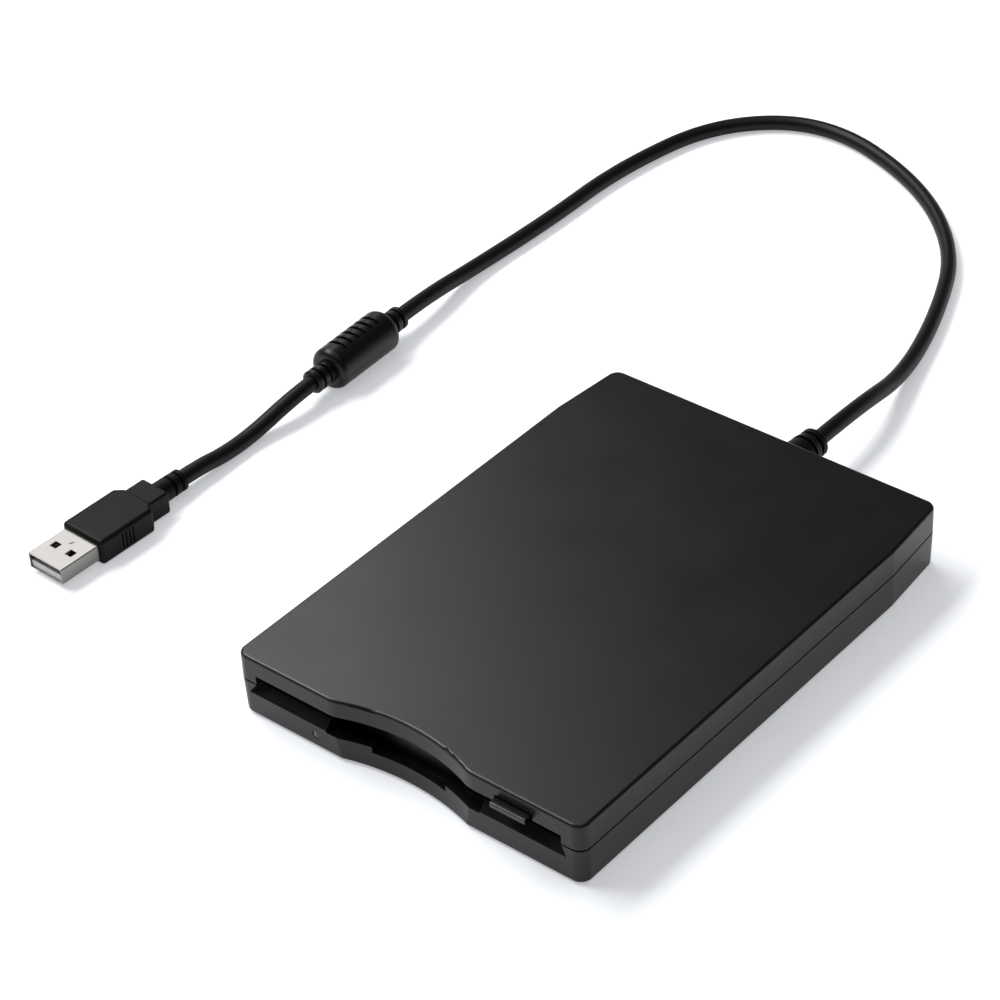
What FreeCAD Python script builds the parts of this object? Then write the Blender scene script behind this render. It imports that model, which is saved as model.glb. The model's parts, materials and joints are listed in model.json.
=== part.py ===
"""External floppy disk drive with its USB cord, as a parametric FreeCAD document.

Millimetres, +Z up, the disk slot faces -Y, the floor is z = 0.  The origin lies under the
middle of the case and its eject button.  Every sub-part is exported to parts/ by its label.
"""
import FreeCAD, Part
import math
import os
import Sketcher
from FreeCAD import Placement, Rotation, Vector

DRIVING_SIZES = {
    # case
    "case_length": 142.0, "case_width": 102.4, "case_height": 17.1, "lower_height": 9.5,
    "wall": 1.8, "corner_radius": 3.0, "top_edge_radius": 0.8, "bottom_edge_radius": 0.4,
    "shell_draft": 1.5, "taper_length": 21.5, "rear_taper": 1.95, "seam_height": 0.45,
    "seam_depth": 0.8, "recess_shift": 1.1, "recess_width": 40.0, "recess_depth": 3.85,
    "recess_blend": 8.0, "recess_base_width": 39.0, "recess_base_depth": 3.0,
    "recess_base_blend": 1.0, "bay_depth": 8.6, "post_radius": 2.8,
    "post_base_radius": 3.5, "boss_radius": 3.0, "hook_length": 4.0, "hook_setback": 4.0,
    "hook_thickness": 1.0,
    # disk and slot
    "disk_width": 90.0, "disk_thickness": 3.3, "disk_floor_height": 8.7, "disk_drop": 2.2,
    "slot_clearance": 0.3, "lip_height": 6.1, "ramp_depth": 2.3, "scoop_half": 23.0,
    "scoop_lip_height": 5.9, "scoop_notch_height": 4.4, "scoop_notch_half": 11.0,
    "scoop_floor_height": 2.6, "scoop_depth": 6.7, "well_width": 20.0,
    "well_setback": 2.4, "well_wall": 1.2, "well_splay": 3.0, "slot_flare_left": 3.0,
    "slot_flare_right": 1.4,
    # screws
    "screw_radius": 1.0, "screw_head_radius": 1.9, "screw_head_height": 1.2,
    "screw_cross_arm": 1.1, "screw_cross_half": 0.22, "screw_sink": 3.0,
    "screw_inset_side": 11.2, "screw_inset_rear": 8.7, "screw_seat_drop": 1.3,
    "screw_reach": 4.0, "pilot_depth": 5.0, "chassis_screw_length": 2.2,
    "boss_pilot_depth": 1.7, "chassis_screw_inset": 4.0, "chassis_screw_side": 6.9,
    # eject button, light and feet
    "button_reach": 2.3, "button_width": 10.0, "button_thickness": 1.4, "button_heel": 0.6,
    "button_edge": 0.3, "button_offset": 32.0,
    "button_clearance": 0.35, "button_gap": 0.15, "button_clip_width": 6.0,
    "eject_travel": 5.0, "eject_overtravel": 0.6,
    "lens_radius": 1.1, "lens_offset": 27.5, "lens_height": 3.5, "lens_flange": 0.6,
    "foot_stand": 0.8, "foot_radius": 4.0, "foot_recess": 0.6, "foot_edge": 0.5,
    "foot_inset_side": 9.0, "foot_inset_end": 14.0,
    # sheet-metal mechanism
    "sheet": 0.8, "thin_sheet": 0.6, "sheet_gap": 0.4, "chassis_side_gap": 0.5,
    "chassis_front_gap": 0.75, "chassis_seat": 0.5, "chassis_rear_gap": 1.45,
    "chassis_wall_length": 104.0, "chassis_tail_step": 3.0, "light_hole_offset": 35.0,
    "lid_height": 14.35, "lid_sheet": 0.7, "lid_length": 91.0, "lid_window_offset": 31.0,
    "press_hole_radius": 10.0, "lid_hole_radius": 13.0,
    "carrier_length": 83.0, "carrier_gap": 0.35, "carrier_lip": 5.5,
    "head_window": 16.0, "window_gap": 1.0,
    "bridge_depth": 3.0, "bridge_lift": 0.2, "arm_length": 95.0, "arm_stand": 2.1,
    "cam_pin_radius": 1.0, "cam_clearance": 0.25, "pin_end_gap": 0.2,
    "front_pin_setback": 14.0, "rear_pin_setback": 78.0, "pin_height": 9.2,
    "spring_radius": 1.2, "spring_wire": 0.35, "spring_setback": 73.0, "spring_length": 17.4,
    "spring_inset": 3.5, "spring_height": 1.4, "spring_tab": 1.6, "spring_hook_height": 2.5,
    # shutter lever
    "lever_pivot_side": 38.0, "lever_pivot_setback": 91.5, "lever_reach": 26.0,
    "lever_angle": 35.0, "lever_swing": 37.0, "lever_sheet": 0.5, "lever_gap": 0.25,
    "lever_pin_radius": 1.2, "lever_slot_half": 1.7, "pivot_radius": 1.5,
    "lever_spring_start": 3.7, "lever_spring_reach": 16.0, "lever_spring_setback": 9.0,
    "running_clearance": 0.05,
    # spindle
    "hub_setback": 51.0, "hub_radius": 11.0, "hub_thickness": 0.6, "hub_pin_radius": 2.0,
    "hub_pin_height": 1.5, "shaft_radius": 1.5, "rotor_radius": 19.0, "rotor_height": 1.7,
    "rotor_sheet": 0.6, "magnet_thickness": 2.0, "air_gap": 0.6, "board_thickness": 0.8,
    "stator_teeth": 9.0, "tooth_width": 2.4, "tooth_shoe": 1.8, "core_radius": 6.5,
    "core_height": 0.6, "core_stand": 0.35, "coil_wall": 0.9, "bearing_radius": 3.0,
    "bearing_gap": 0.2, "drive_pin_offset": 8.0, "drive_pin_height": 0.8,
    "motor_board_margin": 4.0, "motor_board_rear": 21.0,
    # head carriage
    "head_travel": 14.8, "outer_track_radius": 39.7, "head_to_bearing": 5.3,
    "bearing_length": 24.0, "rod_offset": 14.0, "rod_radius": 1.0, "rod_height": 4.9,
    "rod_length": 47.0, "rod_wall": 2.5, "screw_offset": 18.0, "thread_radius": 1.2,
    "journal_radius": 0.6, "motor_shaft_radius": 0.9, "thread_height": 5.2,
    "thread_length": 30.3, "motor_length": 15.0, "motor_width": 11.0, "flange_width": 16.0,
    "carriage_height": 3.0, "carriage_step": 10.0, "head_width": 5.0, "head_length": 6.0,
    "head_chamfer": 0.4, "lower_arm_height": 1.4, "lower_head_rise": 1.6,
    "upper_head_height": 1.4, "upper_head_gap": 0.3, "arm_pin_radius": 0.8,
    "arm_pin_setback": 26.3, "arm_pin_height": 11.8, "arm_eye_radius": 1.6,
    "arm_sheet": 0.7, "arm_knee_setback": 16.0, "upper_arm_width": 9.0, "ear_gap": 0.8,
    "ear_thickness": 1.5, "flag_offset": 7.0, "flag_height": 1.5, "flag_thickness": 0.4,
    "fork_gap": 1.6, "fork_width": 4.8, "fork_length": 5.2,
    # disk sensors
    "insert_switch_side": 31.0, "protect_switch_side": 37.0, "density_switch_side": 36.0,
    "switch_setback": 18.5, "switch_width": 4.0, "switch_height": 2.2,
    "switch_board_margin": 1.5,
    "plunger_radius": 0.9, "plunger_rise": 0.8,
    # boards
    "board_stand": 0.8, "usb_board_width": 66.0, "usb_board_depth": 11.0,
    "usb_board_gap": 2.4, "board_stand_spread": 26.0, "stand_radius": 1.5,
    "stand_inset": 3.0, "control_board_gap": 2.1, "control_board_depth": 17.0,
    "control_board_side": 2.9, "crystal_length": 10.0, "crystal_width": 3.6,
    "bridge_chip_width": 8.0, "bridge_chip_offset": 16.0, "chip_edge": 1.9, "ribbon_width": 5.0, "flex_width": 6.4, "flex_sheet": 0.2,
    # cord, gland, choke and plug
    "cord_radius": 2.2, "gland_offset": 4.8, "gland_length": 12.5, "gland_root_radius": 4.7,
    "gland_tip_radius": 4.0, "gland_neck_step": 0.9, "gland_flange": 1.6,
    "gland_rib_width": 2.0, "rib_width": 1.65, "rib_groove": 0.95, "rib_depth": 0.85,
    "choke_radius": 6.0, "choke_length": 24.5, "choke_wall": 1.6, "choke_end_wall": 2.5,
    "choke_end_round": 2.0, "choke_offset": 122.35, "choke_setback": 52.15,
    "choke_turn": 2.3, "relief_length": 6.65, "relief_radius": 3.3,
    "grip_pitch": 2.75, "grip_width": 1.2, "grip_depth": 0.9, "grip_span": 84.0,
    "grip_turn": 16.0,
    "plug_offset": 122.15, "plug_setback": 62.6, "plug_turn": 2.0, "plug_height": 7.3,
    "plug_width": 14.4, "plug_waist": 9.6, "plug_grip_length": 17.6, "plug_shoulder": 2.1,
    "plug_edge": 1.1, "plug_neck_length": 8.2, "plug_neck_step": 0.4,
    "plug_neck_edge": 0.7, "plug_relief_length": 8.8, "plug_relief_radius": 3.1,
    "plug_rib_setback": 6.9, "plug_rib_width": 0.5, "plug_rib_depth": 0.4,
    "plug_rib_pitch": 1.2, "plug_rib_inset": 1.3,
    "shell_width": 12.0, "shell_height": 4.5, "shell_reach": 12.5, "shell_sheet": 0.35,
    "shell_sink": 6.0, "window_side": 2.8, "window_width": 2.2, "window_setback": 5.2,
    "dimple_setback": 9.4, "dimple_width": 1.3, "dimple_depth": 0.15,
    "tongue_setback": 0.4, "tongue_thickness": 1.9, "contact_width": 1.0,
    "contact_thickness": 0.15,
}

# The case length that the mechanism's own lengths are given for; they follow the case's.
LAYOUT_LENGTH = 142.0
LENGTHWISE = {
    "chassis_wall_length", "lid_length", "carrier_length", "arm_length",
    "front_pin_setback", "rear_pin_setback", "spring_setback", "spring_length",
    "lever_pivot_setback", "hub_setback", "motor_board_rear", "head_travel",
    "outer_track_radius", "head_to_bearing", "bearing_length", "rod_length",
    "thread_length", "motor_length", "arm_pin_setback", "arm_knee_setback",
    "switch_setback", "usb_board_depth", "control_board_depth",
}

# The middle points of the cord's loop on the floor, between its straight ends.
LOOP_TO_CHOKE = [
    (1.0, 130.15, 3.0), (-8.0, 160.15, 2.25), (-22.0, 190.15, 2.25), (-50.0, 214.15, 2.25),
    (-90.0, 227.15, 2.25), (-117.0, 208.15, 2.25), (-125.0, 171.15, 2.25),
    (-124.4, 137.15, 2.25), (-126.0, 105.15, 2.25),
]
LOOP_TO_PLUG = [(-122.3, 11.0, 2.4), (-122.1, -0.5, 2.5)]

# The straight ends of the cord at the gland, at the choke's two ends and at the plug.
GLAND_RUN = 18.5
CHOKE_RUN = 12.0
CHOKE_EXIT_RUN = 8.1
PLUG_RUN = 6.5

doc = FreeCAD.newDocument("FloppyDrive")
sheet = doc.addObject("Spreadsheet::Sheet", "Sizes")
nodes = []


class Size:
    """A length or angle that carries its spreadsheet expression and its present value."""

    def __init__(self, text, value):
        self.text = text
        self.value = float(value)

    @staticmethod
    def of(thing):
        return thing if isinstance(thing, Size) else Size(repr(float(thing)), thing)

    def __add__(self, other):
        other = Size.of(other)
        return Size(f"({self.text} + {other.text})", self.value + other.value)

    def __sub__(self, other):
        other = Size.of(other)
        return Size(f"({self.text} - {other.text})", self.value - other.value)

    def __mul__(self, other):
        other = Size.of(other)
        return Size(f"({self.text} * {other.text})", self.value * other.value)

    def __truediv__(self, other):
        other = Size.of(other)
        return Size(f"({self.text} / {other.text})", self.value / other.value)

    def __radd__(self, other):
        return Size.of(other) + self

    def __rsub__(self, other):
        return Size.of(other) - self

    def __rmul__(self, other):
        return Size.of(other) * self

    def __neg__(self):
        return Size.of(0) - self


class Sizes:
    """The driving dimensions, read as attributes."""

    def __init__(self, table):
        for row, (alias, value) in enumerate(table.items(), start=1):
            sheet.set(f"A{row}", alias)
            sheet.set(f"B{row}", str(value))
            sheet.setAlias(f"B{row}", alias)
            text = f"Sizes.{alias}"
            if alias in LENGTHWISE:
                text = f"({text} * Sizes.case_length / {LAYOUT_LENGTH})"
                value *= table["case_length"] / LAYOUT_LENGTH
            setattr(self, alias, Size(text, value))


S = Sizes(DRIVING_SIZES)
doc.recompute()


# ---------------------------------------------------------------- modelling helpers

def bind(obj, path, size):
    """Tie one property of an object to a size."""
    obj.setExpression(path, Size.of(size).text)


def place(obj, x=0, y=0, z=0, rotation=None):
    """Put an object at sizes x, y, z, turned by an optional rotation."""
    at = [Size.of(part) for part in (x, y, z)]
    obj.Placement = Placement(Vector(*[part.value for part in at]), rotation or Rotation())
    for axis, part in zip("xyz", at):
        bind(obj, f"Placement.Base.{axis}", part)
    return obj


def node(obj, label):
    """Name a finished sub-part, so that it is exported under that name."""
    obj.Label = label
    nodes.append(obj)
    return obj


def box(name, x_span, y_span, z_span):
    """A block between two sizes along each axis."""
    block = doc.addObject("Part::Box", name)
    for path, span in zip(("Length", "Width", "Height"), (x_span, y_span, z_span)):
        bind(block, path, Size.of(span[1]) - span[0])
    return place(block, x_span[0], y_span[0], z_span[0])


AXIS_ROTATION = {
    "X": Rotation(Vector(0, 1, 0), 90),
    "Y": Rotation(Vector(1, 0, 0), -90),
    "Z": Rotation(),
}


def along(axis, centre, start):
    """The point on an axis, from its two cross coordinates and its place along the axis."""
    first, second = centre
    if axis == "X":
        return start, first, second
    if axis == "Y":
        return first, start, second
    return first, second, start


def rod(name, axis, centre, radius, span):
    """A cylinder along X, Y or Z between two sizes."""
    pin = doc.addObject("Part::Cylinder", name)
    bind(pin, "Radius", radius)
    bind(pin, "Height", Size.of(span[1]) - span[0])
    return place(pin, *along(axis, centre, span[0]), AXIS_ROTATION[axis])


def fuse(name, *shapes):
    """Join solids into one."""
    joined = doc.addObject("Part::MultiFuse", name)
    joined.Shapes = list(shapes)
    joined.Refine = True
    return joined


def group(name, *shapes):
    """Keep separate solids together in one sub-part."""
    together = doc.addObject("Part::Compound", name)
    together.Links = list(shapes)
    return together


def cut(name, base, *tools):
    """Take one or more solids away from another."""
    result = doc.addObject("Part::Cut", name)
    result.Base = base
    result.Tool = tools[0] if len(tools) == 1 else fuse(f"{name}_tools", *tools)
    return result


def new_body(name):
    return doc.addObject("PartDesign::Body", name)


def origin_plane(body, role):
    return next(item for item in body.Origin.OriginFeatures if item.Role == role)


def new_sketch(body, name, role="XY_Plane", offset=0):
    """A sketch on one of the body's origin planes, moved along that plane's normal."""
    sketch = body.newObject("Sketcher::SketchObject", name)
    sketch.AttachmentSupport = [(origin_plane(body, role), "")]
    sketch.MapMode = "FlatFace"
    offset = Size.of(offset)
    sketch.AttachmentOffset = Placement(Vector(0, 0, offset.value), Rotation())
    bind(sketch, "AttachmentOffset.Base.z", offset)
    return sketch


def hold_point(sketch, geometry, end, x, y):
    """Dimension one point of a sketch from its origin."""
    for kind, size in (("DistanceX", Size.of(x)), ("DistanceY", Size.of(y))):
        index = sketch.addConstraint(Sketcher.Constraint(kind, -1, 1, geometry, end, size.value))
        bind(sketch, f"Constraints[{index}]", size)


def outline(sketch, corners):
    """A closed outline of straight lines through the given corners."""
    corners = [(Size.of(x), Size.of(y)) for x, y in corners]
    points = [Vector(x.value, y.value, 0) for x, y in corners]
    count = len(points)
    first = sketch.GeometryCount
    for i in range(count):
        sketch.addGeometry(Part.LineSegment(points[i], points[(i + 1) % count]), False)
    for i in range(count):
        after = first + (i + 1) % count
        sketch.addConstraint(Sketcher.Constraint("Coincident", first + i, 2, after, 1))
    for i, (x, y) in enumerate(corners):
        hold_point(sketch, first + i, 1, x, y)
    return sketch


def rectangle(sketch, x_span, y_span):
    (x0, x1), (y0, y1) = x_span, y_span
    return outline(sketch, [(x0, y0), (x1, y0), (x1, y1), (x0, y1)])


def circle(sketch, x, y, radius):
    """A full circle with its centre and radius held."""
    x, y, radius = Size.of(x), Size.of(y), Size.of(radius)
    ring = Part.Circle(Vector(x.value, y.value, 0), Vector(0, 0, 1), radius.value)
    geometry = sketch.addGeometry(ring, False)
    hold_point(sketch, geometry, 3, x, y)
    index = sketch.addConstraint(Sketcher.Constraint("Radius", geometry, radius.value))
    bind(sketch, f"Constraints[{index}]", radius)
    return sketch


def pad(body, sketch, length, backwards=False, taper=None):
    """Raise a sketch along its normal, or against it when backwards."""
    feature = body.newObject("PartDesign::Pad", f"{sketch.Name}_pad")
    feature.Profile = sketch
    feature.Reversed = backwards
    bind(feature, "Length", length)
    if taper is not None:
        bind(feature, "TaperAngle", taper)
    sketch.Visibility = False
    return feature


def pocket(body, sketch, length, forwards=False, taper=None):
    """Cut a sketch against its normal, or along it when forwards."""
    feature = body.newObject("PartDesign::Pocket", f"{sketch.Name}_pocket")
    feature.Profile = sketch
    feature.Reversed = forwards
    bind(feature, "Length", length)
    if taper is not None:
        bind(feature, "TaperAngle", taper)
    sketch.Visibility = False
    return feature


def loft_cut(body, first, last):
    """Cut the straight-sided space between two sketches."""
    feature = body.newObject("PartDesign::SubtractiveLoft", f"{first.Name}_loft")
    feature.Profile = first
    feature.Sections = [(last, [""])]
    feature.Ruled = True
    for sketch in (first, last):
        sketch.Visibility = False
    return feature


def revolve(body, sketch, groove=False):
    """Turn a sketch full circle about its vertical axis."""
    kind = "PartDesign::Groove" if groove else "PartDesign::Revolution"
    feature = body.newObject(kind, f"{sketch.Name}_turn")
    feature.Profile = sketch
    feature.ReferenceAxis = (sketch, ["V_Axis"])
    feature.Angle = 360.0
    sketch.Visibility = False
    return feature


def pattern_row(body, features, axis_role, length, count):
    """Repeat features in a straight row along an origin axis of the body."""
    row = body.newObject("PartDesign::LinearPattern", f"{features[0].Name}_row")
    row.Originals = features
    row.Direction = (origin_plane(body, axis_role), [""])
    bind(row, "Length", length)
    row.Occurrences = count
    body.Tip = row
    return row


def pattern_ring(body, features, axis_role, count):
    """Repeat features evenly around an origin axis of the body."""
    ring = body.newObject("PartDesign::PolarPattern", f"{features[0].Name}_ring")
    ring.Originals = features
    ring.Axis = (origin_plane(body, axis_role), [""])
    ring.Angle = 360.0
    ring.Occurrences = count
    body.Tip = ring
    return ring


def edges_where(feature, test):
    """The names of a feature's edges whose middle point and direction pass the test."""
    doc.recompute()
    names = []
    for i, edge in enumerate(feature.Shape.Edges, start=1):
        middle = edge.valueAt((edge.FirstParameter + edge.LastParameter) / 2)
        ends = edge.Vertexes[0].Point, edge.Vertexes[-1].Point
        if test(middle, ends):
            names.append(f"Edge{i}")
    if not names:
        raise RuntimeError(f"{feature.Name} has no edge of that kind")
    return names


def soften(body, feature, names, size, kind="Fillet"):
    """Fillet or chamfer the named edges of a feature."""
    edge_feature = body.newObject(f"PartDesign::{kind}", f"{feature.Name}_{kind.lower()}")
    edge_feature.Base = (feature, names)
    bind(edge_feature, "Radius" if kind == "Fillet" else "Size", size)
    return edge_feature


def turned(name, profile, role="XZ_Plane"):
    """A turned piece: a profile of (radius, height) points about the local axis."""
    body = new_body(name)
    revolve(body, outline(new_sketch(body, f"{name}_profile", role), profile))
    return body


def tube(name, points, radius):
    """A round cord along straight runs joined by tangent arcs; prints its bend radii."""
    route = [Vector(*point) for point in points]
    pieces = []
    here = route[0]
    radii = []
    for before, corner, after in zip(route, route[1:], route[2:]):
        back, ahead = before - corner, after - corner
        turn = math.pi - back.getAngle(ahead)
        reach = 0.45 * min(back.Length, ahead.Length)
        arc_radius = reach / math.tan(turn / 2)
        radii.append(round(arc_radius, 1))
        start = corner + back.normalize() * reach
        end = corner + ahead.normalize() * reach
        bisector = (back + ahead).normalize()
        centre_distance = math.hypot(arc_radius, reach)
        middle = corner + bisector * (centre_distance - arc_radius)
        pieces.append(Part.LineSegment(here, start).toShape())
        pieces.append(Part.Arc(start, middle, end).toShape())
        here = end
    pieces.append(Part.LineSegment(here, route[-1]).toShape())
    path = Part.Wire(pieces)
    section = Part.Wire(Part.Circle(route[0], route[1] - route[0], radius).toShape())
    solid = path.makePipeShell([section], True, True)
    cord = doc.addObject("Part::Feature", name)
    cord.Shape = solid
    print(name, "length", round(path.Length, 1), "bend radii", radii,
          "volume ratio", round(solid.Volume / (math.pi * radius ** 2 * path.Length), 4))
    return cord


# ---------------------------------------------------------------- shared places

BITE = Size.of(0.2)      # how far a feature reaches into the one it stands on
OUTSIDE = Size.of(5.0)   # how far outside a wall a cut begins

half_width = S.case_width / 2
front = (S.button_reach - S.case_length) / 2
rear = (S.button_reach + S.case_length) / 2
case_bottom = S.foot_stand
seam = case_bottom + S.lower_height
case_top = case_bottom + S.case_height
inner_side = half_width - S.wall
inner_floor = case_bottom + S.wall
inner_top = case_top - S.wall
disk_floor = case_bottom + S.disk_floor_height
slot_half = S.disk_width / 2 + S.slot_clearance
slot_top = disk_floor + S.disk_thickness + S.slot_clearance
taper_start = rear - S.taper_length
recess_x = -S.recess_shift
scoop_left = recess_x - S.scoop_half
scoop_right = recess_x + S.scoop_half
bay_rear = front + S.bay_depth
scoop_back = front + S.scoop_depth
band_back = front + S.recess_depth + S.wall
lip_level = case_bottom + S.lip_height
lens_level = case_bottom + S.lens_height
button_under = slot_top + S.button_gap
button_top = button_under + S.button_thickness
button_face = front - S.button_reach

screw_x = half_width - S.screw_inset_side
screw_y = rear - S.screw_inset_rear
screw_seat = seam - S.screw_seat_drop
gland_neck = S.gland_tip_radius - S.gland_neck_step

chassis_side = inner_side - S.chassis_side_gap
chassis_bottom = inner_floor + S.chassis_seat
chassis_floor = chassis_bottom + S.sheet
chassis_front = bay_rear + S.chassis_front_gap
slider_outer = chassis_side - S.sheet - S.sheet_gap
slider_inner = slider_outer - S.sheet
carrier_outer = slider_inner - S.sheet_gap
carrier_inner = carrier_outer - S.thin_sheet
carrier_under = disk_floor + S.disk_thickness + S.sheet_gap
carrier_top = carrier_under + S.thin_sheet
lid_bottom = case_bottom + S.lid_height
bridge_front = band_back + S.eject_travel + S.sheet_gap
bridge_bottom = carrier_under + S.bridge_lift
bridge_top = bridge_bottom + S.sheet
bridge_rear = bridge_front + S.bridge_depth
carrier_front = bridge_rear + S.eject_overtravel + S.carrier_gap
carrier_rear = carrier_front + S.carrier_length
pin_level = case_bottom + S.pin_height
front_pin = carrier_front + S.front_pin_setback
rear_pin = carrier_front + S.rear_pin_setback
spring_front = chassis_front + S.spring_setback
spring_rear = spring_front + S.spring_length
spring_x = slider_inner - S.spring_inset
spring_z = chassis_floor + S.spring_height

lever_x = -S.lever_pivot_side
lever_y = front + S.lever_pivot_setback
lever_bottom = carrier_top + S.lever_gap
lever_top = lever_bottom + S.lever_sheet
lever_spring_y = lever_y + S.lever_spring_setback
lever_spring_z = carrier_top - BITE
lever_spring_end = lever_x + S.lever_spring_reach

hub_y = front + S.hub_setback
disk_down = disk_floor - S.disk_drop
hub_top = disk_down
rotor_top = hub_top - S.hub_thickness
rotor_bottom = rotor_top - S.rotor_height
bearing_top = rotor_top - S.rotor_sheet - S.bearing_gap
board_top = chassis_floor + S.board_thickness
motor_board_half = S.rotor_radius + S.motor_board_margin
core_bottom = board_top + S.core_stand
tooth_tip = S.rotor_radius - S.rotor_sheet - S.magnet_thickness - S.air_gap

head_y = hub_y + S.outer_track_radius
carriage_front = head_y + S.head_to_bearing
carriage_rear = carriage_front + S.bearing_length
rod_z = case_bottom + S.rod_height
screw_z = case_bottom + S.thread_height
carriage_bottom = rod_z - S.carriage_height / 2
carriage_top = rod_z + S.carriage_height / 2
carriage_left = -S.rod_offset - S.rod_radius - S.rod_wall
lower_arm_bottom = carriage_bottom + 1.0
lower_head_top = disk_down + S.lower_head_rise
upper_head_bottom = disk_floor + S.disk_thickness + S.upper_head_gap
arm_under = upper_head_bottom + S.upper_head_height
arm_pin_y = head_y + S.arm_pin_setback
arm_pin_z = case_bottom + S.arm_pin_height
ear_inner = S.upper_arm_width / 2 + S.ear_gap
flag_x = -S.rod_offset - S.flag_offset
flag_top = carriage_top + S.flag_height
screw_front = carriage_front - S.head_travel - 1.4
motor_front = screw_front + S.thread_length - 1.0
window_front = head_y - S.head_travel - S.head_length / 2 - S.window_gap

board_bottom = chassis_floor + S.board_stand
usb_rear = rear - S.wall - S.usb_board_gap
usb_front = usb_rear - S.usb_board_depth
usb_top = board_bottom + S.board_thickness
chassis_back = usb_front - S.chassis_rear_gap
control_left = -(chassis_side - S.control_board_side)
control_right = flag_x - S.fork_width / 2 - S.control_board_gap
control_front = spring_rear + S.sheet + S.eject_overtravel + S.sheet_gap
control_rear = control_front + S.control_board_depth
control_top = board_bottom + S.board_thickness
ribbon_right = -S.board_stand_spread
ribbon_left = ribbon_right - S.ribbon_width

plug_z = S.plug_height / 2
plug_tip = -S.plug_setback
plug_front = plug_tip + S.shell_reach
plug_shoulder_y = plug_front + S.plug_grip_length
plug_neck_end = plug_shoulder_y + S.plug_neck_length
choke_half = S.choke_length / 2


# ---------------------------------------------------------------- case

def case_plan(inset, front_line):
    """Corners of the case seen from above, inset on all sides, with the tapered rear."""
    side = half_width - inset
    back_side = side - S.rear_taper
    back = rear - inset
    return [(-side, front_line), (side, front_line), (side, taper_start),
            (back_side, back), (-back_side, back), (-side, taper_start)]


def cavity_plan(block_left, block_right, block_line):
    """The hollow of a shell: full depth beside the front block, shallower behind it."""
    corners = case_plan(S.wall, front + S.wall)
    thick_front = [(block_left, front + S.wall), (block_left, block_line),
                   (block_right, block_line), (block_right, front + S.wall)]
    return corners[:1] + thick_front + corners[1:]


def seam_plan():
    """The back of the groove at the seam: an inset plan with its four corners cut round."""
    inset = S.seam_depth
    radius = S.corner_radius - inset
    near = radius * (1 - math.sqrt(0.5))
    side = half_width - inset
    back_side = side - S.rear_taper
    ahead, back = front + inset, rear - inset
    right = [(side - radius, ahead), (side - near, ahead + near), (side, ahead + radius),
             (side, taper_start), (back_side, back - radius),
             (back_side - near, back - near), (back_side - radius, back)]
    return right + [(-x, y) for x, y in reversed(right)]


def recess_circle(body, name, level, width, depth):
    """The circle whose arc is the finger recess, of a given width and depth, at a level."""
    radius = (width * width / 4 + depth * depth) / (2 * depth)
    return circle(new_sketch(body, name, offset=level), recess_x, front + depth - radius,
                  radius)


def recess_kink(middle, ends):
    """Whether an upright edge is where the finger recess meets the flat front."""
    tall = abs(ends[0].z - ends[1].z) > S.case_height.value / 4
    side = abs(middle.x - recess_x.value)
    return tall and middle.y < front.value + S.ramp_depth.value \
        and abs(side - S.recess_width.value / 2) < S.recess_width.value / 10


def case_corner(middle, ends):
    """Whether an edge is one of the four upright corners of the case."""
    tall = abs(ends[0].z - ends[1].z) > S.case_height.value / 10
    at_side = abs(middle.x) > half_width.value - 2 * S.rear_taper.value
    at_end = abs(middle.y - S.button_reach.value / 2) > S.case_length.value / 2 - 2
    return tall and at_side and at_end


def rear_screw_places():
    """The two screws that close the case, at the rear."""
    return [(-screw_x, screw_y), (screw_x, screw_y)]


def chassis_screw_places():
    """The four screw points of the mechanism chassis."""
    side = chassis_side - S.chassis_screw_side
    ends = (chassis_front + S.chassis_screw_inset,
            chassis_back - S.chassis_screw_inset)
    return [(sign * side, y) for sign in (-1, 1) for y in ends]


def foot_places():
    """The four feet, near the corners."""
    side = half_width - S.foot_inset_side
    ends = front + S.foot_inset_end, rear - S.foot_inset_end
    return [(sign * side, y) for sign in (-1, 1) for y in ends]


def gland_cut(body, name):
    """The half hole in a shell's rear wall that clamps the neck of the cord gland."""
    hole = circle(new_sketch(body, name, "XZ_Plane", -rear - 1), S.gland_offset, seam,
                  gland_neck)
    pocket(body, hole, S.wall + 2, forwards=True)


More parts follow.
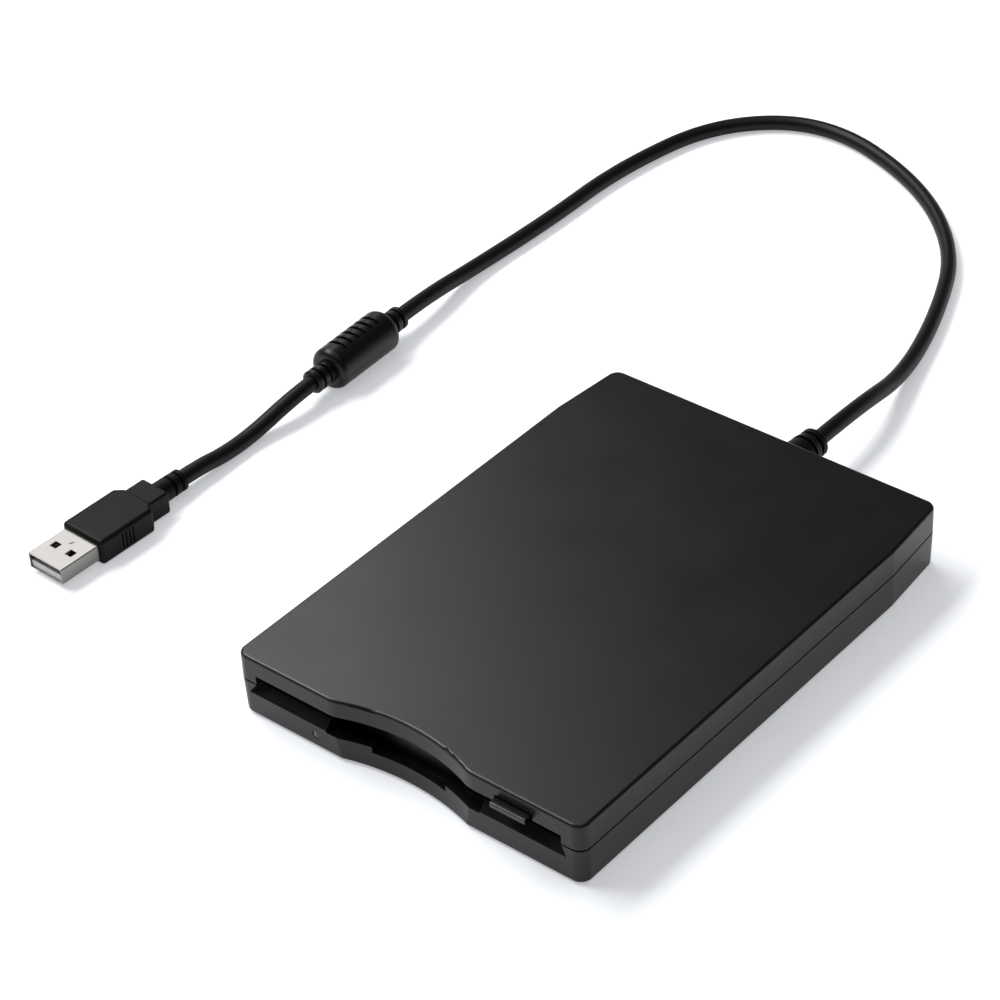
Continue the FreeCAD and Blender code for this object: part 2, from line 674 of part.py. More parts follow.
def top_cover():
    """Upper shell: rounded top edge, finger recess, slot edge, button notch and posts."""
    body = new_body("TopCover")
    height = S.case_height - S.lower_height
    plan = outline(new_sketch(body, "TopPlan", offset=seam), case_plan(0, front))
    shell = pad(body, plan, height)
    shell = soften(body, shell, edges_where(shell, case_corner), S.corner_radius)
    recess = recess_circle(body, "TopRecess", case_top, S.recess_width, S.recess_depth)
    shell = pocket(body, recess, height)
    shell = soften(body, shell, edges_where(shell, recess_kink), S.recess_blend)
    rim = edges_where(shell, lambda m, e: abs(m.z - case_top.value) < 0.01)
    shell = soften(body, shell, rim, S.top_edge_radius)
    band_half = S.recess_width / 2 + S.corner_radius
    hollow = outline(new_sketch(body, "TopHollow", offset=seam),
                     cavity_plan(recess_x - band_half, recess_x + band_half, band_back))
    pocket(body, hollow, height - S.wall, forwards=True)
    slot = outline(new_sketch(body, "TopSlot", "XZ_Plane", -front + OUTSIDE),
                   [(-slot_half, seam - 1), (slot_half, seam - 1), (slot_half, slot_top),
                    (-slot_half, slot_top)])
    pocket(body, slot, S.bay_depth + OUTSIDE + 1)
    notch_half = S.button_width / 2 + S.button_clearance
    notch = rectangle(new_sketch(body, "ButtonNotch", "XZ_Plane", -front + OUTSIDE),
                      (S.button_offset - notch_half, S.button_offset + notch_half),
                      (seam, button_top + S.button_clearance))
    pocket(body, notch, S.wall + OUTSIDE + 0.5)
    for i, (x, y) in enumerate(rear_screw_places()):
        post = circle(new_sketch(body, f"TopPost{i}", offset=screw_seat), x, y,
                      S.post_radius)
        pad(body, post, inner_top - screw_seat + BITE)
        pilot = circle(new_sketch(body, f"TopPilot{i}", offset=screw_seat), x, y,
                       S.screw_radius)
        pocket(body, pilot, S.pilot_depth, forwards=True)
    hook_front = front + S.hook_setback
    for side, name in ((-1, "Left"), (1, "Right")):
        hook = rectangle(new_sketch(body, f"{name}Hook", offset=seam - 2),
                         (side * (inner_side - S.hook_thickness), side * inner_side)[::side],
                         (hook_front, hook_front + S.hook_length))
        pad(body, hook, inner_top - seam + 2 + BITE)
    ring = new_sketch(body, "SeamRebate", offset=seam)
    outline(ring, case_plan(-1, front - 1))
    outline(ring, seam_plan())
    pocket(body, ring, S.seam_height, forwards=True)
    gland_cut(body, "TopGland")
    return node(body, "top_cover")


def lead_in(body, name, outer, flare, inner):
    """A sloping lead-in of the disk slot, whose outer end leans outward to the lip."""
    ahead = new_sketch(body, f"{name}Lip", "XZ_Plane", -front + BITE)
    outline(ahead, [(outer + flare, lip_level), (inner, lip_level), (inner, seam + BITE),
                    (outer, seam + BITE)])
    behind = new_sketch(body, f"{name}Sill", "XZ_Plane", -front - S.ramp_depth)
    outline(behind, [(outer, disk_floor), (inner, disk_floor), (inner, seam + BITE),
                     (outer, seam + BITE)])
    loft_cut(body, ahead, behind)


def scoop_cuts(body):
    """Lead-ins, lip, finger scoop and notch in the front block."""
    left, right = scoop_left, scoop_right
    lead_in(body, "LeftRamp", -slot_half, -S.slot_flare_left, left)
    lead_in(body, "RightRamp", slot_half, S.slot_flare_right, right)
    lip = rectangle(new_sketch(body, "ScoopLip", offset=seam + 1), (left, right),
                    (front - 1, scoop_back))
    pocket(body, lip, seam + 1 - case_bottom - S.scoop_lip_height)
    notch = rectangle(new_sketch(body, "ScoopNotch", offset=seam),
                      (recess_x - S.scoop_notch_half, recess_x + S.scoop_notch_half),
                      (front - 1, scoop_back))
    pocket(body, notch, seam - case_bottom - S.scoop_notch_height)
    well = new_sketch(body, "ScoopWell", offset=seam)
    well_left, well_right = recess_x - S.well_width / 2, recess_x + S.well_width / 2
    wall_back = front + S.recess_depth + S.well_wall
    outline(well, [(left, front + S.well_setback), (well_left, wall_back),
                   (well_right, wall_back), (right, front + S.well_setback),
                   (right - S.well_splay, scoop_back), (left + S.well_splay, scoop_back)])
    pocket(body, well, seam - case_bottom - S.scoop_floor_height)


def bottom_cover():
    """Lower shell: drafted walls, front block with lead-ins and scoop, bosses, recesses."""
    body = new_body("BottomCover")
    plan = outline(new_sketch(body, "BottomPlan", offset=seam), case_plan(0, front))
    shell = pad(body, plan, S.lower_height, backwards=True, taper=-S.shell_draft)
    shell = soften(body, shell, edges_where(shell, case_corner), S.corner_radius)
    upper = recess_circle(body, "RecessAtSeam", seam, S.recess_width, S.recess_depth)
    lower = recess_circle(body, "RecessAtBase", case_bottom, S.recess_base_width,
                          S.recess_base_depth)
    shell = loft_cut(body, upper, lower)
    shell = soften(body, shell, edges_where(shell, recess_kink), S.recess_base_blend)
    base = edges_where(shell, lambda m, e: abs(m.z - case_bottom.value) < 0.01)
    soften(body, shell, base, S.bottom_edge_radius)
    block_half = carrier_inner + S.slot_clearance + BITE
    hollow = outline(new_sketch(body, "BottomHollow", offset=seam),
                     cavity_plan(-block_half, block_half, bay_rear))
    pocket(body, hollow, S.lower_height - S.wall)
    slot = rectangle(new_sketch(body, "BlockTop", offset=seam + 1),
                     (-block_half, block_half), (front + S.ramp_depth, bay_rear + 1))
    pocket(body, slot, seam + 1 - disk_floor)
    scoop_cuts(body)
    for name, span in (("Left", (-block_half + S.wall, scoop_left - S.wall)),
                       ("Right", (scoop_right + S.wall, block_half - S.wall))):
        core = rectangle(new_sketch(body, f"{name}Core", "XZ_Plane", -bay_rear), span,
                         (inner_floor, lip_level - S.wall))
        pocket(body, core, S.bay_depth - S.wall - S.thin_sheet, forwards=True)
    lens_hole = circle(new_sketch(body, "LensHole", "XZ_Plane", -front + OUTSIDE),
                       -S.lens_offset, lens_level, S.lens_radius + S.running_clearance)
    pocket(body, lens_hole, S.bay_depth + OUTSIDE + 1)
    gland_cut(body, "BottomGland")
    for i, (x, y) in enumerate(chassis_screw_places()):
        boss = circle(new_sketch(body, f"Boss{i}", offset=inner_floor - BITE), x, y,
                      S.boss_radius)
        pad(body, boss, S.chassis_seat + BITE)
        pilot = circle(new_sketch(body, f"BossPilot{i}", offset=chassis_bottom), x, y,
                       S.screw_radius)
        pocket(body, pilot, S.boss_pilot_depth)
    for i, (x, y) in enumerate(rear_screw_places()):
        post = circle(new_sketch(body, f"Post{i}", offset=inner_floor - BITE), x, y,
                      S.post_base_radius)
        pad(body, post, screw_seat - inner_floor + BITE)
        bore = circle(new_sketch(body, f"PostBore{i}", offset=screw_seat), x, y,
                      S.screw_radius + 3 * S.running_clearance)
        pocket(body, bore, screw_seat - case_bottom)
        head = circle(new_sketch(body, f"PostHead{i}", offset=case_bottom), x, y,
                      S.screw_head_radius + S.slot_clearance)
        pocket(body, head, S.screw_sink, forwards=True)
    for i, (x, y) in enumerate(foot_places()):
        seat = circle(new_sketch(body, f"FootSeat{i}", offset=case_bottom), x, y,
                      S.foot_radius + 2 * S.running_clearance)
        pocket(body, seat, S.foot_recess, forwards=True)
    for i in (-1, 0, 1):
        middle = i * S.board_stand_spread
        stand = rectangle(new_sketch(body, f"BoardStand{i + 1}", offset=inner_floor - BITE),
                          (middle - 1, middle + 1), (usb_front, usb_rear))
        pad(body, stand, board_bottom - inner_floor + BITE)
    return node(body, "bottom_cover")


def rubber_feet():
    """Four round feet with a rounded edge, seated in recesses."""
    feet = []
    height = S.foot_stand + S.foot_recess
    for i, (x, y) in enumerate(foot_places()):
        foot = turned(f"Foot{i}", [(0, 0), (S.foot_radius - S.foot_edge, 0),
                                   (S.foot_radius, S.foot_edge), (S.foot_radius, height),
                                   (0, height)])
        feet.append(place(foot, x, y, 0))
    return node(group("Feet", *feet), "rubber_feet")


def screws(label, places, under_head, length, pointing_up):
    """Pan-head screws with a cross recess, as separate solids of one sub-part."""
    pieces = []
    head, wide = S.screw_head_height, S.screw_head_radius
    shank = S.screw_radius - S.running_clearance
    for i, (x, y) in enumerate(places):
        name = f"{label}_{i}"
        body = turned(name, [(0, -length), (shank - 0.25, -length), (shank, -length + 0.4),
                             (shank, 0), (wide, 0), (wide, head * 0.6),
                             (wide - head * 0.4, head), (0, head)])
        cross = new_sketch(body, f"{name}_cross", offset=head)
        arm, half = S.screw_cross_arm, S.screw_cross_half
        outline(cross, [(-arm, -half), (-half, -half), (-half, -arm), (half, -arm),
                        (half, -half), (arm, -half), (arm, half), (half, half), (half, arm),
                        (-half, arm), (-half, half), (-arm, half)])
        pocket(body, cross, head / 2)
        turn = Rotation(Vector(1, 0, 0), 180) if pointing_up else Rotation()
        pieces.append(place(body, x, y, under_head, turn))
    return node(group(label.title().replace("_", ""), *pieces), label)


def eject_button():
    """Push button: a slim bar with a rounded face, a thicker heel and a slider clip."""
    body = new_body("EjectButton")
    half = S.button_width / 2
    bar = rectangle(new_sketch(body, "ButtonBar", offset=button_under),
                    (S.button_offset - half, S.button_offset + half),
                    (button_face, bridge_front))
    shape = pad(body, bar, S.button_thickness)
    rim = edges_where(shape, lambda m, e: abs(m.y - button_face.value) < 0.01)
    soften(body, shape, rim, S.button_edge)
    heel_front = front + S.wall + S.eject_travel + S.button_clearance
    heel = rectangle(new_sketch(body, "ButtonHeel", offset=button_under),
                     (S.button_offset - half, S.button_offset + half),
                     (heel_front, bridge_front))
    heel_height = S.button_thickness + S.button_heel
    pad(body, heel, heel_height)
    clip_half = S.button_clip_width / 2
    clip = rectangle(new_sketch(body, "ButtonClip", offset=bridge_top),
                     (S.button_offset - clip_half, S.button_offset + clip_half),
                     (bridge_front - 0.5, bridge_rear - 0.3))
    pad(body, clip, button_under + heel_height - bridge_top)
    return node(body, "eject_button")


def led_lens():
    """Light pipe with a domed face and a retaining flange behind the front block."""
    length = S.bay_depth - 0.35
    flat = S.lens_radius - 0.35
    lens = turned("LedLens", [(0, 0), (S.lens_radius, 0), (S.lens_radius, length),
                              (flat, length + 0.15), (0, length + 0.25)])
    flange = rod("LensFlange", "Y", (-S.lens_offset, lens_level),
                 S.lens_radius + S.lens_flange, (bay_rear, bay_rear + 0.5))
    place(lens, -S.lens_offset, bay_rear, lens_level, Rotation(Vector(1, 0, 0), 90))
    return node(fuse("LensPipe", lens, flange), "led_lens")


# ---------------------------------------------------------------- sheet-metal mechanism

def slot_outline(sketch, start, end, radius):
    """A slot with round ends between two centres."""
    (x0, y0), (x1, y1) = [(Size.of(x), Size.of(y)) for x, y in (start, end)]
    radius = Size.of(radius)
    heading = math.atan2(y1.value - y0.value, x1.value - x0.value)
    side = Vector(math.sin(heading), -math.cos(heading), 0) * radius.value
    first, last = Vector(x0.value, y0.value, 0), Vector(x1.value, y1.value, 0)
    up = Vector(0, 0, 1)
    quarter = math.pi / 2
    shapes = [
        Part.ArcOfCircle(Part.Circle(first, up, radius.value), heading + quarter,
                         heading + 3 * quarter),
        Part.LineSegment(first + side, last + side),
        Part.ArcOfCircle(Part.Circle(last, up, radius.value), heading - quarter,
                         heading + quarter),
        Part.LineSegment(last - side, first - side),
    ]
    base = sketch.GeometryCount
    for shape in shapes:
        sketch.addGeometry(shape, False)
    for i in range(4):
        after = base + (i + 1) % 4
        sketch.addConstraint(Sketcher.Constraint("Tangent", base + i, 2, after, 1))
    hold_point(sketch, base, 3, x0, y0)
    hold_point(sketch, base + 2, 3, x1, y1)
    sketch.addConstraint(Sketcher.Constraint("Equal", base, base + 2))
    index = sketch.addConstraint(Sketcher.Constraint("Radius", base, radius.value))
    bind(sketch, f"Constraints[{index}]", radius)
    return sketch


def mechanism_chassis():
    """Folded steel tray with pin slots, spring hooks, board stands and a motor window."""
    body = new_body("Chassis")
    wall_end = chassis_front + S.chassis_wall_length
    narrow = chassis_side - S.chassis_tail_step
    plan = outline(new_sketch(body, "ChassisPlan", offset=chassis_bottom),
                   [(-chassis_side, chassis_front), (chassis_side, chassis_front),
                    (chassis_side, wall_end), (narrow, wall_end), (narrow, chassis_back),
                    (-narrow, chassis_back), (-narrow, wall_end),
                    (-chassis_side, wall_end)])
    pad(body, plan, S.sheet)
    for side, name in ((-1, "Left"), (1, "Right")):
        outer = side * chassis_side
        inner = side * (chassis_side - S.sheet)
        wall = rectangle(new_sketch(body, f"{name}Wall", offset=chassis_bottom),
                         (outer, inner)[::-side], (chassis_front, wall_end))
        tray = pad(body, wall, lid_bottom - chassis_bottom)
    bends = edges_where(tray, lambda m, e: abs(m.z - chassis_bottom.value) < 0.01
                        and abs(abs(m.x) - chassis_side.value) < 0.01)
    soften(body, tray, bends, S.sheet * 0.9)
    lowest = pin_level - S.disk_drop - S.cam_clearance
    for name, y in (("Front", front_pin), ("Rear", rear_pin)):
        guide = slot_outline(new_sketch(body, f"{name}Guide", "YZ_Plane", -half_width),
                             (y, lowest), (y, pin_level + 2 * S.cam_clearance),
                             S.cam_pin_radius + S.cam_clearance)
        pocket(body, guide, S.case_width, forwards=True)
    window_half = S.motor_width / 2 + S.thin_sheet
    window = rectangle(new_sketch(body, "MotorWindow", offset=chassis_floor),
                       (S.screw_offset - window_half, S.screw_offset + window_half),
                       (motor_front + S.sheet, motor_front + S.motor_length + S.thin_sheet))
    pocket(body, window, S.sheet)
    for side, name in ((-1, "Left"), (1, "Right")):
        light_x = side * S.light_hole_offset
        light = slot_outline(new_sketch(body, f"{name}Light", offset=chassis_floor),
                             (light_x, hub_y - 8), (light_x, hub_y + 16), 4.0)
        pocket(body, light, S.sheet)
        hook_x = side * spring_x
        hook = rectangle(new_sketch(body, f"{name}SpringHook", offset=chassis_floor - BITE),
                         (hook_x - S.spring_tab / 2, hook_x + S.spring_tab / 2),
                         (spring_front - S.sheet, spring_front))
        pad(body, hook, S.spring_hook_height + BITE)
    for i, (x, y) in enumerate(chassis_screw_places()):
        hole = circle(new_sketch(body, f"ScrewHole{i}", offset=chassis_floor), x, y,
                      S.screw_radius + 4 * S.running_clearance)
        pocket(body, hole, S.sheet)
    sides = control_left + S.stand_inset, control_right - S.stand_inset
    ends = control_front + S.stand_inset, control_rear - S.stand_inset
    for i, (x, y) in enumerate([(x, y) for x in sides for y in ends]):
        stand = circle(new_sketch(body, f"Stand{i}", offset=chassis_floor - BITE), x, y,
                       S.stand_radius)
        pad(body, stand, board_bottom - chassis_floor + BITE)
    return node(body, "mechanism_chassis")


def mechanism_lid():
    """Thin steel lid on the tray, cut away over the head arm and lightened by openings."""
    body = new_body("Lid")
    lid_front = bridge_rear + S.eject_overtravel + S.sheet_gap
    lid_back = lid_front + S.lid_length
    arm_half = S.upper_arm_width / 2 + 2.5
    mouth = head_y - S.head_travel - S.head_length / 2 - 2
    plan = outline(new_sketch(body, "LidPlan", offset=lid_bottom),
                   [(-chassis_side, lid_front), (chassis_side, lid_front),
                    (chassis_side, lid_back), (arm_half, lid_back), (arm_half, mouth),
                    (-arm_half, mouth), (-arm_half, lid_back), (-chassis_side, lid_back)])
    plate = pad(body, plan, S.lid_sheet)
    corners = edges_where(plate, lambda m, e: abs(e[0].z - e[1].z) > 0.3
                          and abs(m.x) > chassis_side.value - 1)
    soften(body, plate, corners, 2.0)
    opening = circle(new_sketch(body, "HubOpening", offset=lid_bottom), 0, hub_y,
                     S.lid_hole_radius)
    pocket(body, opening, S.lid_sheet, forwards=True)
    for side, name in ((-1, "Left"), (1, "Right")):
        window_x = side * S.lid_window_offset
        window = slot_outline(new_sketch(body, f"{name}Window", offset=lid_bottom),
                              (window_x, hub_y - 24), (window_x, hub_y + 20), 5.0)
        pocket(body, window, S.lid_sheet, forwards=True)
    return node(body, "mechanism_lid")


def disk_carrier():
    """Folded disk cage: open channel for the disk, cam pins, head window and pin slot."""
    body = new_body("Carrier")
    lip_top = disk_floor
    lip_under = disk_floor - S.thin_sheet
    lip_inner = carrier_outer - S.carrier_lip
    section = outline(new_sketch(body, "CarrierSection", "XZ_Plane", -carrier_rear),
                      [(-carrier_outer, lip_under), (-lip_inner, lip_under),
                       (-lip_inner, lip_top), (-carrier_inner, lip_top),
                       (-carrier_inner, carrier_under), (carrier_inner, carrier_under),
                       (carrier_inner, lip_top), (lip_inner, lip_top),
                       (lip_inner, lip_under), (carrier_outer, lip_under),
                       (carrier_outer, carrier_top), (-carrier_outer, carrier_top)])
    cage = pad(body, section, S.carrier_length)
    folds = edges_where(cage, lambda m, e: abs(abs(m.x) - carrier_outer.value) < 0.01
                        and abs(e[0].y - e[1].y) > 5)
    soften(body, cage, folds, S.thin_sheet * 0.8)
    window = rectangle(new_sketch(body, "HeadWindow", offset=carrier_top),
                       (-S.head_window / 2, S.head_window / 2),
                       (window_front, carrier_rear + 1))
    pocket(body, window, S.thin_sheet)
    press_hole = circle(new_sketch(body, "PressHole", offset=carrier_top), 0, hub_y,
                        S.press_hole_radius)
    pocket(body, press_hole, S.thin_sheet)
    inside = carrier_outer - S.thin_sheet / 2
    pin_end = chassis_side - S.pin_end_gap
    for i, y in enumerate((front_pin, rear_pin)):
        for side, start in ((-1, -pin_end), (1, inside)):
            pin = circle(new_sketch(body, f"CamPin{i}{side + 1}", "YZ_Plane", start), y,
                         pin_level, S.cam_pin_radius)
            pad(body, pin, pin_end - inside)
    tab = rectangle(new_sketch(body, "SpringTab", offset=lever_spring_z - 1.0),
                    (lever_spring_end, lever_spring_end + S.sheet),
                    (carrier_rear - 0.5, lever_spring_y + S.spring_radius))
    pad(body, tab, carrier_top - lever_spring_z + 1.0)
    sectors = []
    for name, reach in (("Outer", S.lever_reach + S.lever_slot_half),
                        ("Inner", S.lever_reach - S.lever_slot_half)):
        sector = rod(f"PinSlot{name}", "Z", (lever_x, lever_y), reach,
                     (carrier_under - 1, carrier_top + 1))
        bind(sector, "Angle", S.lever_swing + 8)
        sector.Placement = Placement(sector.Placement.Base,
                                     Rotation(Vector(0, 0, 1), -(S.lever_angle.value + 4)))
        bind(sector, "Placement.Rotation.Angle", -(S.lever_angle + 4))
        sectors.append(sector)
    pin_slot = cut("PinSlot", *sectors)
    pivot = rod("LeverPivot", "Z", (lever_x, lever_y), S.pivot_radius,
                (carrier_under, lever_top + 0.1))
    return node(fuse("DiskCarrier", cut("SlottedCarrier", body, pin_slot), pivot),
                "disk_carrier")


def eject_slider():
    """Cam plate frame: a front bridge behind the button and two slotted side arms."""
    body = new_body("Slider")
    arm_bottom = chassis_floor + S.arm_stand
    arm_rear = bridge_front + S.arm_length
    bridge = rectangle(new_sketch(body, "Bridge", offset=bridge_bottom),
                       (-slider_outer, slider_outer), (bridge_front, bridge_rear))
    pad(body, bridge, S.sheet)
    tab_bottom = chassis_floor + 0.5
    for side, name in ((-1, "Left"), (1, "Right")):
        arm = rectangle(new_sketch(body, f"{name}Arm", offset=arm_bottom),
                        (side * slider_inner, side * slider_outer)[::side],
                        (bridge_front, arm_rear))
        pad(body, arm, bridge_top - arm_bottom)
        tab = rectangle(new_sketch(body, f"{name}Tab", offset=tab_bottom),
                        (side * (spring_x - S.spring_tab / 2), side * slider_outer)[::side],
                        (spring_rear, spring_rear + S.sheet))
        pad(body, tab, arm_bottom - tab_bottom + 0.5)
    drop = S.disk_drop / S.eject_travel
    for name, y in (("Front", front_pin), ("Rear", rear_pin)):
        cam = slot_outline(new_sketch(body, f"{name}Cam", "YZ_Plane", -half_width),
                           (y - S.eject_overtravel, pin_level + drop * S.eject_overtravel),
                           (y + S.eject_travel, pin_level - S.disk_drop),
                           S.cam_pin_radius + S.cam_clearance)
        pocket(body, cam, S.case_width, forwards=True)
    return node(body, "eject_slider")


def coil(name, axis, centre, span):
    """A tension spring as a plain sleeve of its coil's outer and inner size."""
    outer = rod(f"{name}Outer", axis, centre, S.spring_radius, span)
    inner = rod(f"{name}Inner", axis, centre, S.spring_radius - S.spring_wire, span)
    return cut(name, outer, inner)


def springs():
    """The two slider springs and the lever's return spring."""
    pair = [coil(f"SliderSpring{i}", "Y", (side * spring_x, spring_z),
                 (spring_front, spring_rear)) for i, side in enumerate((-1, 1))]
    node(group("SliderSprings", *pair), "slider_springs")
    start = lever_x + S.lever_spring_start
    return node(coil("LeverSpring", "X", (lever_spring_y, lever_spring_z),
                     (start, lever_spring_end)), "lever_spring")


def shutter_lever():
    """Flat lever that slides the disk's shutter open: a bored arm with a downward pin."""
    body = new_body("Lever")
    arm = new_sketch(body, "LeverArm")
    reach = S.lever_reach
    eye = 2 * S.pivot_radius
    tail = S.lever_spring_setback - 0.4
    outline(arm, [(-2.5, -eye), (2, -eye - 0.2), (reach, -1.9), (reach + 1.5, -1),
                  (reach + 1.5, 1), (reach, 1.9), (2, eye + 0.2), (-2, tail),
                  (-5.2, tail - 2.2), (-3.6, 0)])
    plate = pad(body, arm, S.lever_sheet)
    soften(body, plate, edges_where(plate, lambda m, e: abs(e[0].z - e[1].z) > 0.2), 0.6)
    bore = circle(new_sketch(body, "LeverBore"), 0, 0, S.pivot_radius + S.running_clearance)
    pocket(body, bore, S.lever_sheet, forwards=True)
    pin = circle(new_sketch(body, "LeverPin"), reach, 0, S.lever_pin_radius)
    pad(body, pin, lever_bottom - disk_floor - 1.2, backwards=True)
    place(body, lever_x, lever_y, lever_bottom,
          Rotation(Vector(0, 0, 1), -S.lever_angle.value))
    bind(body, "Placement.Rotation.Angle", -S.lever_angle)
    return node(body, "shutter_lever")


# ---------------------------------------------------------------- spindle motor

def spindle():
    """Cup rotor, ring magnet, turned hub with its shaft, bearing bush and toothed stator."""
    rotor = S.rotor_radius
    inner = rotor - S.rotor_sheet
    under = S.rotor_height - S.rotor_sheet
    cup = turned("Rotor", [(S.shaft_radius, under), (inner, under), (inner, 0), (rotor, 0),
                           (rotor, S.rotor_height - 0.3), (rotor - 0.3, S.rotor_height),
                           (S.shaft_radius, S.rotor_height)])
    node(place(cup, 0, hub_y, rotor_bottom), "spindle_rotor")
    magnet = turned("Magnet", [(inner - S.magnet_thickness, 0), (inner, 0), (inner, under),
                               (inner - S.magnet_thickness, under)])
    node(place(magnet, 0, hub_y, rotor_bottom), "rotor_magnet")
    shaft_bottom = chassis_floor + 0.3
    pin, pin_top = S.hub_pin_radius, hub_top + S.hub_pin_height
    shaft = turned("Hub", [(0, shaft_bottom), (S.shaft_radius, shaft_bottom),
                           (S.shaft_radius, rotor_top), (S.hub_radius, rotor_top),
                           (S.hub_radius, hub_top - 0.2), (S.hub_radius - 0.2, hub_top),
                           (pin, hub_top), (pin, pin_top - 0.5), (pin - 0.5, pin_top),
                           (0, pin_top)])
    place(shaft, 0, hub_y, 0)
    drive = rod("DrivePin", "Z", (S.drive_pin_offset, hub_y), S.hub_pin_radius / 2,
                (rotor_top, hub_top + S.drive_pin_height))
    node(fuse("SpindleHub", shaft, drive), "spindle_hub")
    bore = S.shaft_radius + S.running_clearance
    bush = turned("Bearing", [(bore, chassis_floor), (S.bearing_radius, chassis_floor),
                              (S.bearing_radius, bearing_top), (bore, bearing_top)])
    node(place(bush, 0, hub_y, 0), "spindle_bearing")
    stator()
    board = box("MotorBoardBlank", (-motor_board_half, motor_board_half),
                (hub_y - motor_board_half, hub_y + S.motor_board_rear),
                (chassis_floor, board_top))
    hole = rod("BearingHole", "Z", (0, hub_y), S.bearing_radius,
               (chassis_floor - 1, board_top + 1))
    return node(cut("MotorBoard", board, hole), "motor_board")


def stator():
    """Laminated core with evenly spaced teeth, and one coil around each tooth."""
    count = int(S.stator_teeth.value)
    core = new_body("Stator")
    ring = new_sketch(core, "CoreRing")
    circle(ring, 0, 0, S.core_radius)
    circle(ring, 0, 0, S.bearing_radius)
    pad(core, ring, S.core_height)
    half = S.tooth_width / 2
    shoe = half + S.tooth_shoe
    root = S.core_radius - 0.5
    tooth = outline(new_sketch(core, "Tooth"),
                    [(root, -half), (tooth_tip - 1.2, -half), (tooth_tip - 0.6, -shoe),
                     (tooth_tip - 0.2, -shoe), (tooth_tip, 0), (tooth_tip - 0.2, shoe),
                     (tooth_tip - 0.6, shoe), (tooth_tip - 1.2, half), (root, half)])
    one = pad(core, tooth, S.core_height)
    pattern_ring(core, [one], "Z_Axis", count)
    node(place(core, 0, hub_y, core_bottom), "stator_core")
    coils = []
    coil_half = half + S.coil_wall
    for i in range(count):
        blank = box(f"CoilBlank{i}", (S.core_radius + 0.7, tooth_tip - 1.6),
                    (-coil_half, coil_half), (-S.core_stand, S.core_height + 0.25))
        opening = box(f"CoilOpening{i}", (root, tooth_tip), (-half, half),
                      (0, S.core_height))
        winding = cut(f"Coil{i}", blank, opening)
        turn = Rotation(Vector(0, 0, 1), 360.0 * i / count)
        coils.append(place(winding, 0, hub_y, core_bottom, turn))
    node(group("StatorCoils", *coils), "stator_coils")


# ---------------------------------------------------------------- head carriage

def head_carriage():
    """Moulded carriage: rod bearings, screw follower, lower arm, hinge tower and flag."""
    body = new_body("Carriage")
    right = S.screw_offset - S.thread_radius - 0.3
    follower_rear = carriage_front + 6
    plan = outline(new_sketch(body, "CarriagePlan", offset=carriage_bottom),
                   [(carriage_left, carriage_front), (right, carriage_front),
                    (right, follower_rear), (S.carriage_step, follower_rear),
                    (S.carriage_step, carriage_rear), (carriage_left, carriage_rear)])
    block = pad(body, plan, S.carriage_height)
    soften(body, block, edges_where(block, lambda m, e: abs(e[0].z - e[1].z) > 2), 1.0)
    window_half = S.carriage_step - 3
    window = rectangle(new_sketch(body, "CarriageWindow", offset=carriage_top),
                       (-window_half - 1, window_half - 0.5),
                       (carriage_front + 5, arm_pin_y - 6))
    pocket(body, window, S.carriage_height)
    arm_root = carriage_front + 0.5
    arm_tip = head_y - S.head_length / 2 - BITE
    tip_half = S.head_width / 2 + 0.5
    arm = outline(new_sketch(body, "LowerArm", offset=lower_arm_bottom),
                  [(-2 * tip_half, arm_root), (-tip_half, arm_tip), (tip_half, arm_tip),
                   (2 * tip_half, arm_root)])
    pad(body, arm, S.lower_arm_height)
    for start, name in ((-ear_inner - S.ear_thickness, "Left"), (ear_inner, "Right")):
        ear = new_sketch(body, f"{name}Ear", "YZ_Plane", start)
        ear_top = arm_pin_z + S.arm_pin_radius + 0.7
        outline(ear, [(arm_pin_y - 2.6, carriage_top - BITE), (arm_pin_y - 1.4, ear_top),
                      (arm_pin_y + 1.4, ear_top), (arm_pin_y + 2.4, carriage_top - BITE)])
        pad(body, ear, S.ear_thickness)
    bearing = circle(new_sketch(body, "RodBore", "XZ_Plane", -carriage_rear - 1),
                     -S.rod_offset, rod_z, S.rod_radius + S.running_clearance)
    pocket(body, bearing, S.bearing_length + 2, forwards=True)
    hinge = rod("ArmPin", "X", (arm_pin_y, arm_pin_z), S.arm_pin_radius,
                (-ear_inner - BITE, ear_inner + BITE))
    flag_y = (carriage_rear - 5, carriage_rear - 1)
    blade_half = S.flag_thickness / 2
    post = box("FlagPost", (carriage_left, carriage_left + 1.2), flag_y,
               (carriage_top - BITE, flag_top))
    reach = box("FlagReach", (flag_x - blade_half, carriage_left + 1.2), flag_y,
                (flag_top - S.thin_sheet, flag_top))
    blade = box("FlagBlade", (flag_x - blade_half, flag_x + blade_half), flag_y,
                (rod_z - 0.3, flag_top))
    return node(fuse("HeadCarriage", body, hinge, post, reach, blade), "head_carriage")


